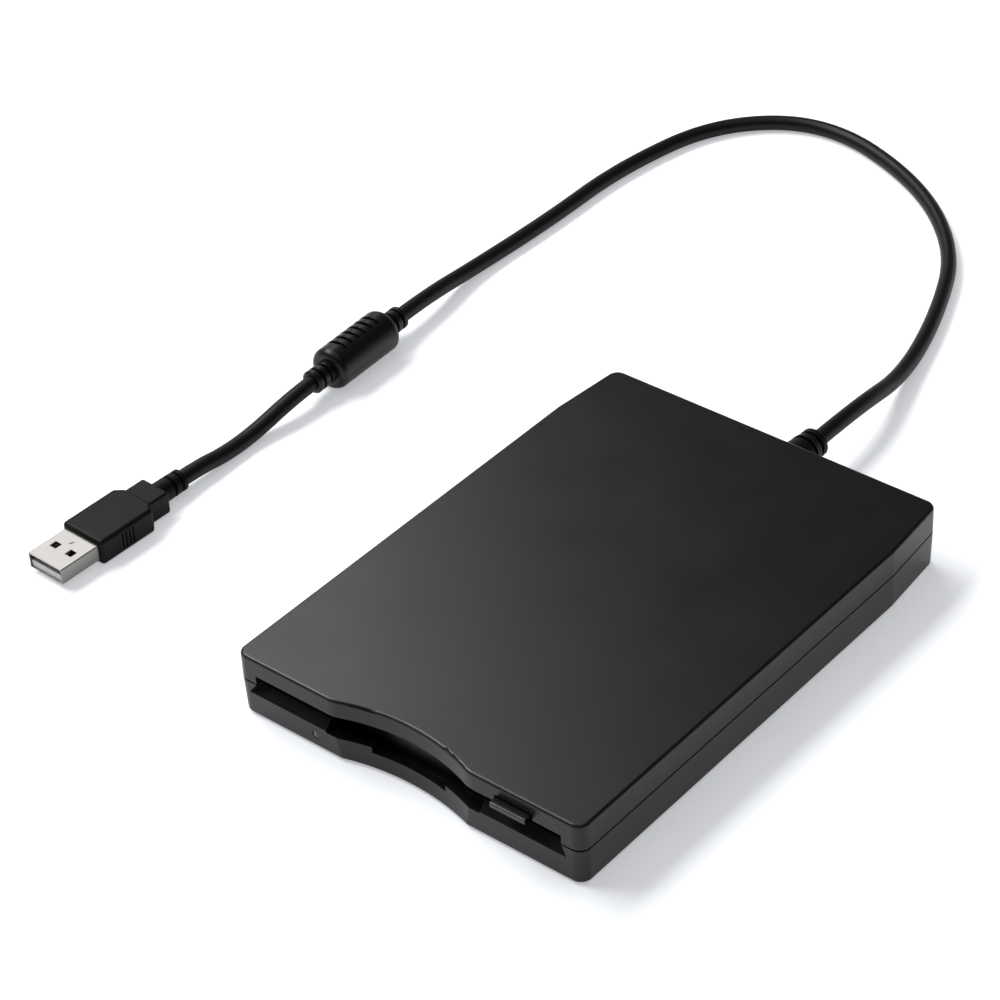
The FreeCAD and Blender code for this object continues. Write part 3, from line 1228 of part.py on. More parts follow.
def heads():
    """The lower head on the carriage, the hinged upper arm and the upper head under it."""
    half = S.head_width / 2
    head_span = (head_y - S.head_length / 2, head_y + S.head_length / 2)
    lower = box("LowerHeadBlock", (-half, half), head_span,
                (lower_arm_bottom + S.lower_arm_height, lower_head_top))
    lower_chamfer = doc.addObject("Part::Chamfer", "LowerHead")
    lower_chamfer.Base = lower
    doc.recompute()
    rim = [(i, S.head_chamfer.value, S.head_chamfer.value)
           for i, edge in enumerate(lower.Shape.Edges, start=1)
           if all(abs(v.Z - lower_head_top.value) < 1e-6 for v in edge.Vertexes)]
    lower_chamfer.Edges = rim
    node(lower_chamfer, "lower_head")
    node(box("UpperHead", (-half, half), head_span, (upper_head_bottom, arm_under)),
         "upper_head")
    body = new_body("UpperArm")
    arm_half = S.upper_arm_width / 2
    arm_tip = head_span[0] - 0.4
    knee = head_y + S.arm_knee_setback
    arm_top = arm_under + S.arm_sheet
    hinge_front = arm_pin_y - 1.2
    side_view = new_sketch(body, "ArmSide", "YZ_Plane", -arm_half)
    outline(side_view, [(arm_tip, arm_under), (knee, arm_under),
                        (hinge_front, arm_pin_z - 0.4), (arm_pin_y, arm_pin_z - 0.4),
                        (arm_pin_y, arm_pin_z + 1.0), (hinge_front, arm_pin_z + 1.0),
                        (knee + 0.6, arm_top), (arm_tip, arm_top)])
    pad(body, side_view, S.upper_arm_width)
    waist_half = half + 0.4
    for side, name in ((-1, "Left"), (1, "Right")):
        outside, inside = side * (arm_half + 1), side * waist_half
        waist = outline(new_sketch(body, f"{name}Waist", offset=arm_top + 0.5),
                        [(outside, head_y - 5), (inside, head_y - 5), (inside, head_y + 6),
                         (outside, head_y + 12)])
        pocket(body, waist, OUTSIDE)
    eye = circle(new_sketch(body, "ArmEye", "YZ_Plane", -arm_half), arm_pin_y, arm_pin_z,
                 S.arm_eye_radius)
    pad(body, eye, S.upper_arm_width)
    bore = circle(new_sketch(body, "ArmBore", "YZ_Plane", -arm_half - 1), arm_pin_y,
                  arm_pin_z, S.arm_pin_radius + S.running_clearance)
    pocket(body, bore, S.upper_arm_width + 2, forwards=True)
    return node(body, "upper_head_arm")


def head_drive():
    """Guide rod with its clamps, lead screw, end bearing and flat-sided stepper motor."""
    rod_start = screw_front - 1.5
    rod_end = rod_start + S.rod_length
    centre = (-S.rod_offset, rod_z)
    node(rod("GuideRod", "Y", centre, S.rod_radius, (rod_start, rod_end)), "guide_rod")
    clamps = []
    clamp_half = S.rod_wall
    for i, y in enumerate((rod_start - 0.5, rod_end - 2.0)):
        block = box(f"ClampBlock{i}", (-S.rod_offset - clamp_half, -S.rod_offset + clamp_half),
                    (y, y + 2.5), (chassis_floor, rod_z + S.rod_radius + 0.3))
        bore = rod(f"ClampBore{i}", "Y", centre, S.rod_radius, (y - 1, y + 4))
        clamps.append(cut(f"Clamp{i}", block, bore))
    node(group("RodClamps", *clamps), "rod_clamps")
    centre = (S.screw_offset, screw_z)
    thread = rod("ScrewThread", "Y", centre, S.thread_radius,
                 (screw_front, motor_front - 0.3))
    journal = rod("ScrewJournal", "Y", centre, S.journal_radius,
                  (screw_front - 2.6, screw_front + 1))
    shaft = rod("ScrewShaft", "Y", centre, S.motor_shaft_radius,
                (motor_front - 1, motor_front + S.motor_length - 4))
    node(fuse("LeadScrew", thread, journal, shaft), "lead_screw")
    block = box("BearingBlock", (S.screw_offset - 2.5, S.screw_offset + 2.5),
                (screw_front - 2.7, screw_front - 0.3),
                (chassis_floor, screw_z + S.thread_radius))
    bore = rod("JournalBore", "Y", centre, S.journal_radius + S.running_clearance,
               (screw_front - OUTSIDE, screw_front + 1))
    node(cut("ScrewBearing", block, bore), "screw_bearing")
    can = rod("MotorCan", "Y", centre, S.motor_width / 2,
              (motor_front + S.sheet, motor_front + S.motor_length))
    can_top = 2 * screw_z - chassis_bottom
    flat = box("MotorFlats", (S.screw_offset - S.motor_width, S.screw_offset + S.motor_width),
               (motor_front, motor_front + S.motor_length), (chassis_bottom, can_top))
    sided = doc.addObject("Part::Common", "SidedCan")
    sided.Base, sided.Tool = can, flat
    flange_half = S.flange_width / 2
    flange = box("MotorFlange", (S.screw_offset - flange_half, S.screw_offset + flange_half),
                 (motor_front, motor_front + S.sheet), (chassis_floor, can_top))
    hollow = rod("MotorBore", "Y", centre, S.motor_shaft_radius + S.running_clearance,
                 (motor_front - 1, motor_front + S.motor_length - 3))
    return node(cut("StepperMotor", fuse("MotorSolid", sided, flange), hollow),
                "stepper_motor")


# ---------------------------------------------------------------- boards and wiring

def track_sensor():
    """Forked light barrier that the carriage's flag enters at the outermost track."""
    body = new_body("TrackSensor")
    fork = new_sketch(body, "Fork", "XZ_Plane", -(carriage_rear - 0.4))
    top = flag_top - 1.0
    floor = rod_z - 0.7
    half, gap_half = S.fork_width / 2, S.fork_gap / 2
    outline(fork, [(flag_x - half, chassis_floor), (flag_x + half, chassis_floor),
                   (flag_x + half, top), (flag_x + gap_half, top),
                   (flag_x + gap_half, floor), (flag_x - gap_half, floor),
                   (flag_x - gap_half, top), (flag_x - half, top)])
    pad(body, fork, S.fork_length)
    return node(body, "track_sensor")


def switches():
    """Three push switches under the disk, on two small boards, with sprung plungers."""
    bodies = []
    y = front + S.switch_setback
    half = S.switch_width / 2
    switch_top = board_top + S.switch_height
    plunger_bottom = board_top + 1.2
    plunger_top = disk_down + S.plunger_rise
    places = {"insert": -S.insert_switch_side, "protect": -S.protect_switch_side,
              "density": S.density_switch_side}
    for name, x in places.items():
        block = box(f"{name}Block", (x - half, x + half), (y - half, y + half),
                    (board_top, switch_top))
        bore = rod(f"{name}Bore", "Z", (x, y), S.plunger_radius + S.running_clearance,
                   (board_top + 0.3, switch_top + 1))
        bodies.append(cut(f"{name}Switch", block, bore))
        pin = S.plunger_radius
        plunger = turned(f"{name}Plunger", [(0, plunger_bottom), (pin, plunger_bottom),
                                            (pin, plunger_top - 0.4),
                                            (pin - 0.4, plunger_top), (0, plunger_top)])
        node(place(plunger, x, y, 0), f"plunger_{name}")
    node(group("SensorSwitches", *bodies), "sensor_switches")
    boards = []
    edge = half + S.switch_board_margin
    for name, first, last in (("Left", "protect", "insert"), ("Right", "density", "density")):
        boards.append(box(f"{name}SwitchBoard", (places[first] - edge, places[last] + edge),
                          (y - edge, y + edge), (chassis_floor, board_top)))
    node(group("SwitchBoards", *boards), "switch_boards")
    light_front = bay_rear + 0.5 + 0.1
    status = box("StatusLight", (-S.lens_offset - 1.3, -S.lens_offset + 1.3),
                 (light_front, light_front + 1.2), (chassis_floor, lens_level + 1.1))
    return node(status, "status_light")


def electronics():
    """Control board on the tray, USB board behind it, their chips, ribbon and flex."""
    node(box("ControlBoard", (control_left, control_right), (control_front, control_rear),
             (board_bottom, control_top)), "control_board")
    drive_chip = box("DriveChip", (control_left + 6, control_left + 15),
                     (control_front + 3, control_front + 12), (control_top, control_top + 1.4))
    driver = box("MotorDriver", (control_left + 2, control_left + 6.5),
                 (control_front + 13, control_rear), (control_top, control_top + 1.2))
    socket = box("RibbonSocket", (ribbon_left, ribbon_right),
                 (control_rear - 2.8, control_rear - 0.3), (control_top, control_top + 1.5))
    node(group("ControlChips", drive_chip, driver, socket), "control_chips")
    half = S.usb_board_width / 2
    node(box("UsbBoard", (-half, half), (usb_front, usb_rear), (board_bottom, usb_top)),
         "usb_board")
    socket_front = usb_front + 0.3
    chip_half = S.bridge_chip_width / 2
    bridge_chip = box("BridgeChip", (-S.bridge_chip_offset - chip_half,
                                     -S.bridge_chip_offset + chip_half),
                      (usb_front + S.chip_edge, usb_rear - S.chip_edge),
                      (usb_top, usb_top + 1.4))
    crystal_right = half - S.stand_inset
    crystal = box("Crystal", (crystal_right - S.crystal_length, crystal_right),
                  (usb_front + S.chip_edge, usb_front + S.chip_edge + S.crystal_width),
                  (usb_top, usb_top + 3.2))
    flex_half = S.flex_width / 2
    flex_socket = box("FlexSocket", (-flex_half - 1.4, flex_half + 1.4),
                      (socket_front, socket_front + 2.7), (usb_top, usb_top + 2.4))
    usb_socket = box("RibbonEnd", (ribbon_left, ribbon_right),
                     (socket_front, socket_front + 2.5), (usb_top, usb_top + 1.5))
    node(group("UsbChips", bridge_chip, crystal, flex_socket, usb_socket), "usb_chips")
    node(box("Ribbon", (ribbon_left + 0.3, ribbon_right - 0.3),
             (control_rear - 0.3, socket_front), (usb_top + 0.6, usb_top + 0.8)),
         "ribbon_cable")
    flex = new_body("HeadFlex")
    strip = new_sketch(flex, "FlexSide", "YZ_Plane", -flex_half)
    start, end = carriage_rear - 2.5, socket_front
    low, high = carriage_top, carriage_top + 2.6
    thick = S.flex_sheet
    outline(strip, [(start, low), (carriage_rear, low), (carriage_rear + 2, high),
                    (end - 2, high), (end, usb_top + 1.4), (end, usb_top + 1.4 + thick * 1.6),
                    (end - 1.8, high + thick), (carriage_rear + 1.8, high + thick),
                    (carriage_rear - 0.2, low + thick), (start, low + thick)])
    pad(flex, strip, S.flex_width)
    return node(flex, "head_flex")


def cord_entry():
    """Gland clamped in the rear wall, and the cord's end, leads and connector inside."""
    root, tip = S.gland_root_radius, S.gland_tip_radius
    flange = root + S.thin_sheet
    inside = -S.wall - S.gland_flange
    profile = [(0, inside), (flange, inside), (flange, -S.wall), (gland_neck, -S.wall),
               (gland_neck, 0), (root, 0)]
    profile += ribs(root, tip, Size.of(0), S.gland_length, 2, S.gland_rib_width)
    gland = turned("Gland", profile + [(0, S.gland_length)], "XY_Plane")
    node(place(gland, S.gland_offset, rear, seam), "cable_gland")
    stub_end = rear + inside - 3.0
    stub = rod("JacketEnd", "Y", (S.gland_offset, seam), S.cord_radius,
               (stub_end, rear + inside))
    socket_rear = stub_end - 2.6
    leads = [stub]
    for i in range(4):
        fan = S.gland_offset.value + 1.5 * i
        start = (S.gland_offset.value - 0.9 + 0.6 * i, stub_end.value, seam.value)
        bend = (fan, stub_end.value - 1.0, seam.value - 0.9)
        end = (fan + 3.6 + 0.2 * i, socket_rear.value, usb_top.value + 1.5)
        leads.append(tube(f"Lead{i}", [start, bend, end], 0.45))
    node(group("CordLeads", *leads), "cord_leads")
    socket = box("CordSocket", (S.gland_offset + 2.4, S.gland_offset + 10),
                 (socket_rear - 4.2, socket_rear), (usb_top, usb_top + 2.8))
    return node(socket, "cord_connector")


def ribs(root, tip, start, length, count, ring=S.rib_width):
    """Profile points of a strain relief: rings parted by grooves, the last ring rounded."""
    groove, depth = S.rib_groove, S.rib_depth
    points = []
    ribbed = count * (ring + groove)
    for i in range(count):
        y = length - ribbed + i * (ring + groove)
        radius = root + (tip - root) * ((i + 1) / count)
        points += [(radius, start + y), (radius - depth, start + y),
                   (radius - depth, start + y + groove), (radius, start + y + groove)]
    return points + [(tip, start + length - 0.5), (tip - 0.5, start + length)]


# ---------------------------------------------------------------- choke, plug and cord

def choke():
    """Moulded choke cover with ribbed ends and grip grooves, around a ferrite core."""
    relief = S.relief_radius
    outer = S.choke_radius
    tail = ribs(relief, relief, choke_half, S.relief_length, 2)
    right = [(0, choke_half + S.relief_length)] + list(reversed(tail))
    profile = right + [(relief, choke_half), (outer, choke_half)]
    mirrored = [(r, -Size.of(y)) for r, y in reversed(profile)]
    cover = turned("ChokeCover", profile + mirrored, "XY_Plane")
    shoulders = edges_where(cover.Tip, lambda m, e: abs(abs(m.y) - choke_half.value) < 0.01
                            and math.hypot(m.x, m.z) > outer.value - 0.01)
    soften(cover, cover.Tip, shoulders, S.choke_end_round)
    pitch, half_groove = S.grip_pitch, S.grip_width / 2
    floor = outer - S.grip_depth
    first = -2.5 * pitch
    grooves = []
    for name, near in (("Top", 1), ("Bottom", -1)):
        band = rectangle(new_sketch(cover, f"{name}Grip"),
                         (near * floor, near * (outer + 1))[::near],
                         (first - half_groove, first + half_groove))
        grip = revolve(cover, band, groove=True)
        bind(grip, "Angle", S.grip_span)
        grooves.append(grip)
    pattern_row(cover, grooves, "Y_Axis", 5 * pitch, 6)
    turn = 90 + S.grip_turn.value + S.grip_span.value / 2
    place(cover, 0, 0, 0, Rotation(Vector(0, 1, 0), -turn))
    core_half = choke_half - S.choke_end_wall
    core_radius = outer - S.choke_wall
    void = rod("CoreVoid", "Y", (0, 0), core_radius, (-core_half, core_half))
    shell = cut("ChokeCoverShell", cover, void)
    ferrite = rod("FerriteBlank", "Y", (0, 0), core_radius, (-core_half, core_half))
    bore = rod("FerriteBore", "Y", (0, 0), S.cord_radius + BITE, (-choke_half, choke_half))
    core = cut("FerriteCore", ferrite, bore)
    for piece, label in ((shell, "choke_cover"), (core, "ferrite_core")):
        place(piece, -S.choke_offset, S.choke_setback, outer,
              Rotation(Vector(0, 0, 1), S.choke_turn.value))
        bind(piece, "Placement.Rotation.Angle", S.choke_turn)
        node(piece, label)


def plug():
    """USB plug: stepped grip with ribs and relief, folded shell, tongue and contacts."""
    body = new_body("PlugGrip")
    grip = S.plug_width / 2
    waist = S.plug_waist / 2
    neck_start = plug_shoulder_y + S.plug_shoulder
    plan = outline(new_sketch(body, "GripPlan"),
                   [(-grip, plug_front), (grip, plug_front), (grip, plug_shoulder_y),
                    (waist, neck_start), (-waist, neck_start), (-grip, plug_shoulder_y)])
    block = pad(body, plan, S.plug_height)
    block = soften(body, block, edges_where(block, lambda m, e: True), S.plug_edge)
    step = S.plug_neck_step
    neck = rectangle(new_sketch(body, "NeckPlan", offset=step), (-waist, waist),
                     (neck_start - S.plug_edge, plug_neck_end))
    neck_block = pad(body, neck, S.plug_height - 2 * step)
    soften(body, neck_block, edges_where(neck_block, lambda m, e: m.y > neck_start.value
                                         and abs(m.y - neck_start.value) > 0.5),
           S.plug_neck_edge)
    grooves = []
    rib_front = plug_front + S.plug_rib_setback
    for side, name in ((-1, "Left"), (1, "Right")):
        rib = rectangle(new_sketch(body, f"{name}Rib", offset=S.plug_rib_inset),
                        (side * (grip - S.plug_rib_depth), side * (grip + 1))[::side],
                        (rib_front, rib_front + S.plug_rib_width))
        grooves.append(pocket(body, rib, S.plug_height - 2 * S.plug_rib_inset,
                              forwards=True))
    pattern_row(body, grooves, "Y_Axis", 3 * S.plug_rib_pitch, 4)
    root = S.plug_relief_radius
    relief = turned("PlugRelief", [(0, -1), (root, -1), (root, 0)]
                    + ribs(root, root - 0.1, Size.of(0), S.plug_relief_length, 2)
                    + [(0, S.plug_relief_length)], "XY_Plane")
    place(relief, 0, plug_neck_end, plug_z)
    half_shell, half_high = S.shell_width / 2, S.shell_height / 2
    pit = box("ShellPit", (-half_shell, half_shell), (plug_front - 1, plug_front + S.shell_sink),
              (plug_z - half_high, plug_z + half_high))
    overmold = cut("PlugOvermold", fuse("PlugSolid", body, relief), pit)
    pieces = [(overmold, "plug_overmold", 0), (plug_shell(half_shell, half_high),
                                               "plug_shell", plug_z)]
    tongue, contacts = plug_tongue(half_shell - S.shell_sheet - 0.1, half_high - S.shell_sheet)
    pieces += [(tongue, "plug_insulator", 0), (contacts, "plug_contacts", 0)]
    for piece, label, height in pieces:
        place(piece, -S.plug_offset, 0, height, Rotation(Vector(0, 0, 1), -S.plug_turn.value))
        bind(piece, "Placement.Rotation.Angle", -S.plug_turn)
        node(piece, label)


def plug_shell(half_wide, half_high):
    """Folded steel shell: a thin rectangular sleeve, four latch windows and a dimple."""
    shell = new_body("PlugShell")
    frame = new_sketch(shell, "ShellSection", "XZ_Plane", -plug_front - S.shell_sink)
    rectangle(frame, (-half_wide, half_wide), (-half_high, half_high))
    inner = half_wide - S.shell_sheet
    inner_high = half_high - S.shell_sheet
    rectangle(frame, (-inner, inner), (-inner_high, inner_high))
    sleeve = pad(shell, frame, S.shell_reach + S.shell_sink)
    corners = edges_where(sleeve, lambda m, e: abs(abs(m.x) - half_wide.value) < 0.01
                          and abs(abs(m.z) - half_high.value) < 0.01
                          and abs(e[0].y - e[1].y) > 5)
    soften(shell, sleeve, corners, S.shell_sheet * 0.9)
    window_half = S.window_width / 2
    window_front = plug_tip + S.window_setback
    for i, x in enumerate((-S.window_side, S.window_side)):
        window = rectangle(new_sketch(shell, f"Window{i}", offset=half_high + 1),
                           (x - window_half, x + window_half),
                           (window_front, window_front + S.window_width))
        pocket(shell, window, S.shell_height + 2)
    dimple = new_sketch(shell, "Dimple", offset=half_high)
    dimple_half = S.dimple_width / 2
    dimple_y = plug_tip + S.dimple_setback
    outline(dimple, [(-dimple_half, dimple_y - dimple_half), (dimple_half, dimple_y - dimple_half),
                     (0, dimple_y + dimple_half)])
    pocket(shell, dimple, S.dimple_depth)
    return shell


def plug_tongue(half_wide, half_high):
    """Insulating tongue in the lower half of the shell, with four contact strips on it."""
    bottom = plug_z - half_high
    face = bottom + S.tongue_thickness
    end = plug_front + S.shell_sink
    tongue = box("Tongue", (-half_wide, half_wide), (plug_tip + S.tongue_setback, end),
                 (bottom, face))
    strips = []
    half = S.contact_width / 2
    for i, (x, start) in enumerate(((-3.5, 1.3), (-1.0, 2.3), (1.0, 2.3), (3.5, 1.3))):
        strips.append(box(f"Contact{i}", (x - half, x + half), (plug_tip + start, end),
                          (face, face + S.contact_thickness)))
    return group("TongueUnit", tongue), group("PlugContacts", *strips)


def straight_out(x, y, z, reach, length, turn=0.0):
    """Two points of a cord that leaves a moulding along its own axis, near Y.

    The moulding's middle is at x, y, z and its axis is turned by an angle from Y; the cord
    leaves it at a reach from the middle and runs straight on by a length.
    """
    heading = Vector(-math.sin(math.radians(turn)), math.cos(math.radians(turn)), 0)
    middle = Vector(x.value, y.value, z.value)
    start = middle + heading * reach.value
    return [tuple(start), tuple(start + heading * length)]


def cords():
    """The round cord from the gland to the choke, and from the choke to the plug."""
    choke_end = choke_half + S.relief_length
    choke_at = (-S.choke_offset, S.choke_setback, S.choke_radius)
    turn = S.choke_turn.value
    to_choke = straight_out(S.gland_offset, rear, seam, S.gland_length, GLAND_RUN)
    to_choke += LOOP_TO_CHOKE
    to_choke += straight_out(*choke_at, choke_end, CHOKE_RUN, turn)[::-1]
    node(tube("CordCase", to_choke, S.cord_radius.value), "usb_cord_case")
    to_plug = straight_out(*choke_at, -choke_end, -CHOKE_EXIT_RUN, turn)
    to_plug += LOOP_TO_PLUG
    plug_end = plug_neck_end + S.plug_relief_length
    to_plug += straight_out(-S.plug_offset, Size.of(0), plug_z, plug_end, PLUG_RUN,
                            -S.plug_turn.value)[::-1]
    return node(tube("CordPlug", to_plug, S.cord_radius.value), "usb_cord_plug")


# ---------------------------------------------------------------- build and export

def build():
    """Make every sub-part in the order in which the drive is put together."""
    bottom_cover()
    rubber_feet()
    led_lens()
    mechanism_chassis()
    screws("chassis_screws", chassis_screw_places(), chassis_floor, S.chassis_screw_length,
           False)
    spindle()
    head_carriage()
    heads()
    head_drive()
    track_sensor()
    switches()
    disk_carrier()
    shutter_lever()
    eject_slider()
    eject_button()
    springs()
    mechanism_lid()
    electronics()
    cord_entry()
    top_cover()
    under_head = case_bottom + S.screw_sink
    screws("case_screws", rear_screw_places(), under_head,
           screw_seat - under_head + S.screw_reach, True)
    choke()
    plug()
    cords()
    doc.recompute()


def check(part):
    """Stop with a clear message when a sub-part did not build."""
    states = set(part.State) & {"Invalid", "Error"}
    if states or part.Shape.isNull() or not part.Shape.isValid():
        raise RuntimeError(f"{part.Label} did not build: {states or 'bad shape'}")


build()
for item in doc.Objects:
    if {"Invalid", "Error"} & set(item.State):
        raise RuntimeError(f"{item.Name} did not build")
os.makedirs("parts", exist_ok=True)
for part in nodes:
    check(part)
    part.Shape.exportStep(f"parts/{part.Label}.step")
print(len(nodes), "sub-parts")
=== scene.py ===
"""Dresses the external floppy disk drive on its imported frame.

The rigid pieces stay as the frame holds them and get their finishes here. This file adds what a solid
model leaves out: the two free runs of the cord, the coil springs, the screw thread, the windings, the
legs of the chips and the wires of the ribbon cable. Lengths are in millimetres until they reach a mesh.
"""
from __future__ import annotations

import json
import logging
import math
from dataclasses import dataclass, field
from enum import Enum

import bmesh
import bpy
from mathutils import Matrix, Vector

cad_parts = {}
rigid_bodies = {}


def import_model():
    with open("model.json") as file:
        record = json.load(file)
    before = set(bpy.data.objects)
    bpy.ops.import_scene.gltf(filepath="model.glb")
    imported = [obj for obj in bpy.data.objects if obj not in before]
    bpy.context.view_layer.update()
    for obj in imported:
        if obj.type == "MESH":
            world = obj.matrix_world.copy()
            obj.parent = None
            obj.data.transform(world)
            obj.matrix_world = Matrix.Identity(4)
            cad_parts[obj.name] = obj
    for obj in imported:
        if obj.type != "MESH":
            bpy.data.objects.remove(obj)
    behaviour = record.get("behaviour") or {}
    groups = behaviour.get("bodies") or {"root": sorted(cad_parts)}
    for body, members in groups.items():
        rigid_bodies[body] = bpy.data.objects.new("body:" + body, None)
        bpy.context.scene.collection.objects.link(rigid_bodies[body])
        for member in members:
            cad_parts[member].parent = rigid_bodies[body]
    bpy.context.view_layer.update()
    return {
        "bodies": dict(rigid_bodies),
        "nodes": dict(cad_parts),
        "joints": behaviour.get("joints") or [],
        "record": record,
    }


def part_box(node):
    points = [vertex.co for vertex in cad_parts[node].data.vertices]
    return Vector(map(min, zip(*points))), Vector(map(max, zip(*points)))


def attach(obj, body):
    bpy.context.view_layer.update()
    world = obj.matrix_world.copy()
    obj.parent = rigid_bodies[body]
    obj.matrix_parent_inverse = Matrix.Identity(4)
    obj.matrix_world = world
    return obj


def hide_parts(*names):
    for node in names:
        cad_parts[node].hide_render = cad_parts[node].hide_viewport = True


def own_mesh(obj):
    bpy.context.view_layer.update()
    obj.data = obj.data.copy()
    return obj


log = logging.getLogger("floppy_drive")

Material = bpy.types.Material
Mesh = bpy.types.Mesh
Node = bpy.types.Node
Object = bpy.types.Object
Outputs = bpy.types.NodeOutputs
Socket = bpy.types.NodeSocket
Tree = bpy.types.NodeTree
Point = tuple[float, float, float]

MM = 0.001
SAME_CORNER = 1e-6
SAME_POINT = 1e-7
BEVEL_SAMPLES = 6


class Axis(Enum):
    """Direction that a coil, a grain or a row runs in."""

    X = 0
    Y = 1
    Z = 2

    def shares(self, along: float, across: float) -> Point:
        """Returns three factors: one for this direction, another for the two across it."""
        return tuple(along if place == self.value else across for place in range(3))

    def vector(self) -> Vector:
        """Returns the unit vector of this direction."""
        return Vector(self.shares(1.0, 0.0))


class Body(Enum):
    """Bodies of the frame that new pieces ride on."""

    CASE = "case"
    CARRIER = "carrier"
    SCREW = "screw"


# ------------------------------------------------------------------ small helpers

def linear(code: str) -> tuple[float, float, float, float]:
    """Turns an sRGB hex colour into a linear one.

    Args:
        code: Six hex digits, with or without a leading hash.

    Returns:
        Linear red, green, blue and an alpha of one.
    """
    digits = code.lstrip("#")
    shares = [int(digits[start:start + 2], 16) / 255 for start in (0, 2, 4)]
    mixed = [share / 12.92 if share <= 0.04045 else ((share + 0.055) / 1.055) ** 2.4 for share in shares]
    return mixed[0], mixed[1], mixed[2], 1.0


def per_metre(size_mm: float) -> float:
    """Returns how many repeats of a size in millimetres fit into one metre."""
    return 1.0 / (size_mm * MM)


def add_node(tree: Tree, kind: str, settings: dict | None = None,
             values: dict | None = None, links: dict | None = None) -> Node:
    """Adds one node with its settings, input values and links.

    Args:
        tree: Shader or geometry tree that gets the node.
        kind: Blender's name of the node type.
        settings: Properties of the node itself.
        values: Input sockets, by name or number, and their constant values.
        links: Input sockets, by name or number, and the output sockets that feed them.

    Returns:
        The new node.
    """
    added = tree.nodes.new(kind)
    for name, value in (settings or {}).items():
        setattr(added, name, value)
    for name, value in (values or {}).items():
        added.inputs[name].default_value = value
    for name, source in (links or {}).items():
        tree.links.new(source, added.inputs[name])
    return added


def put(name: str, data: bpy.types.ID) -> Object:
    """Makes an object of some data and links it into the scene."""
    made = bpy.data.objects.new(name, data)
    bpy.context.scene.collection.objects.link(made)
    return made


def keep_piece(name: str, mesh: Mesh, finish: "Finish", body: Body,
               stands_for: tuple[str, ...] = ()) -> Object:
    """Puts a finished mesh into the scene as a piece of the object.

    Args:
        name: Name of the new piece.
        mesh: Mesh with its place in its own points.
        finish: Surface that the piece gets.
        body: Body that it rides on.
        stands_for: Nodes of the frame that it replaces.

    Returns:
        The new object.
    """
    mesh.name = name
    piece = put(name, mesh)
    mesh.materials.clear()
    mesh.materials.append(finish.material())
    if stands_for:
        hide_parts(*stands_for)
    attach(piece, body.value)
    log.info("%s rides on %s, %d faces", name, body.value, len(mesh.polygons))
    return piece


def solids_of(node: str) -> list[list[Vector]]:
    """Splits a node of the frame into its separate solids.

    Args:
        node: Name of the node.

    Returns:
        The points of each solid, in metres, in order along x, then y.
    """
    grid = bmesh.new()
    grid.from_mesh(bpy.data.objects[node].data)
    bmesh.ops.remove_doubles(grid, verts=grid.verts, dist=SAME_CORNER)
    left = set(grid.verts)
    groups = []
    while left:
        front = [left.pop()]
        group = []
        while front:
            vert = front.pop()
            group.append(vert.co.copy())
            near = [edge.other_vert(vert) for edge in vert.link_edges]
            front += [other for other in near if other in left]
            left.difference_update(near)
        groups.append(group)
    grid.free()
    return sorted(groups, key=lambda points: tuple(round(v, 6) for v in middle_of(points)))


def corners_of(points: list[Vector]) -> tuple[Vector, Vector]:
    """Returns the lowest and the highest corner of some points."""
    low = Vector([min(point[place] for point in points) for place in range(3)])
    high = Vector([max(point[place] for point in points) for place in range(3)])
    return low, high


def middle_of(points: list[Vector]) -> Vector:
    """Returns the middle of the box round some points."""
    low, high = corners_of(points)
    return (low + high) / 2


def box_of(node: str) -> tuple[Vector, Vector]:
    """Returns the lowest and the highest corner of a node of the frame."""
    low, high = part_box(node)
    return Vector(low), Vector(high)


# ------------------------------------------------------------------ finishes

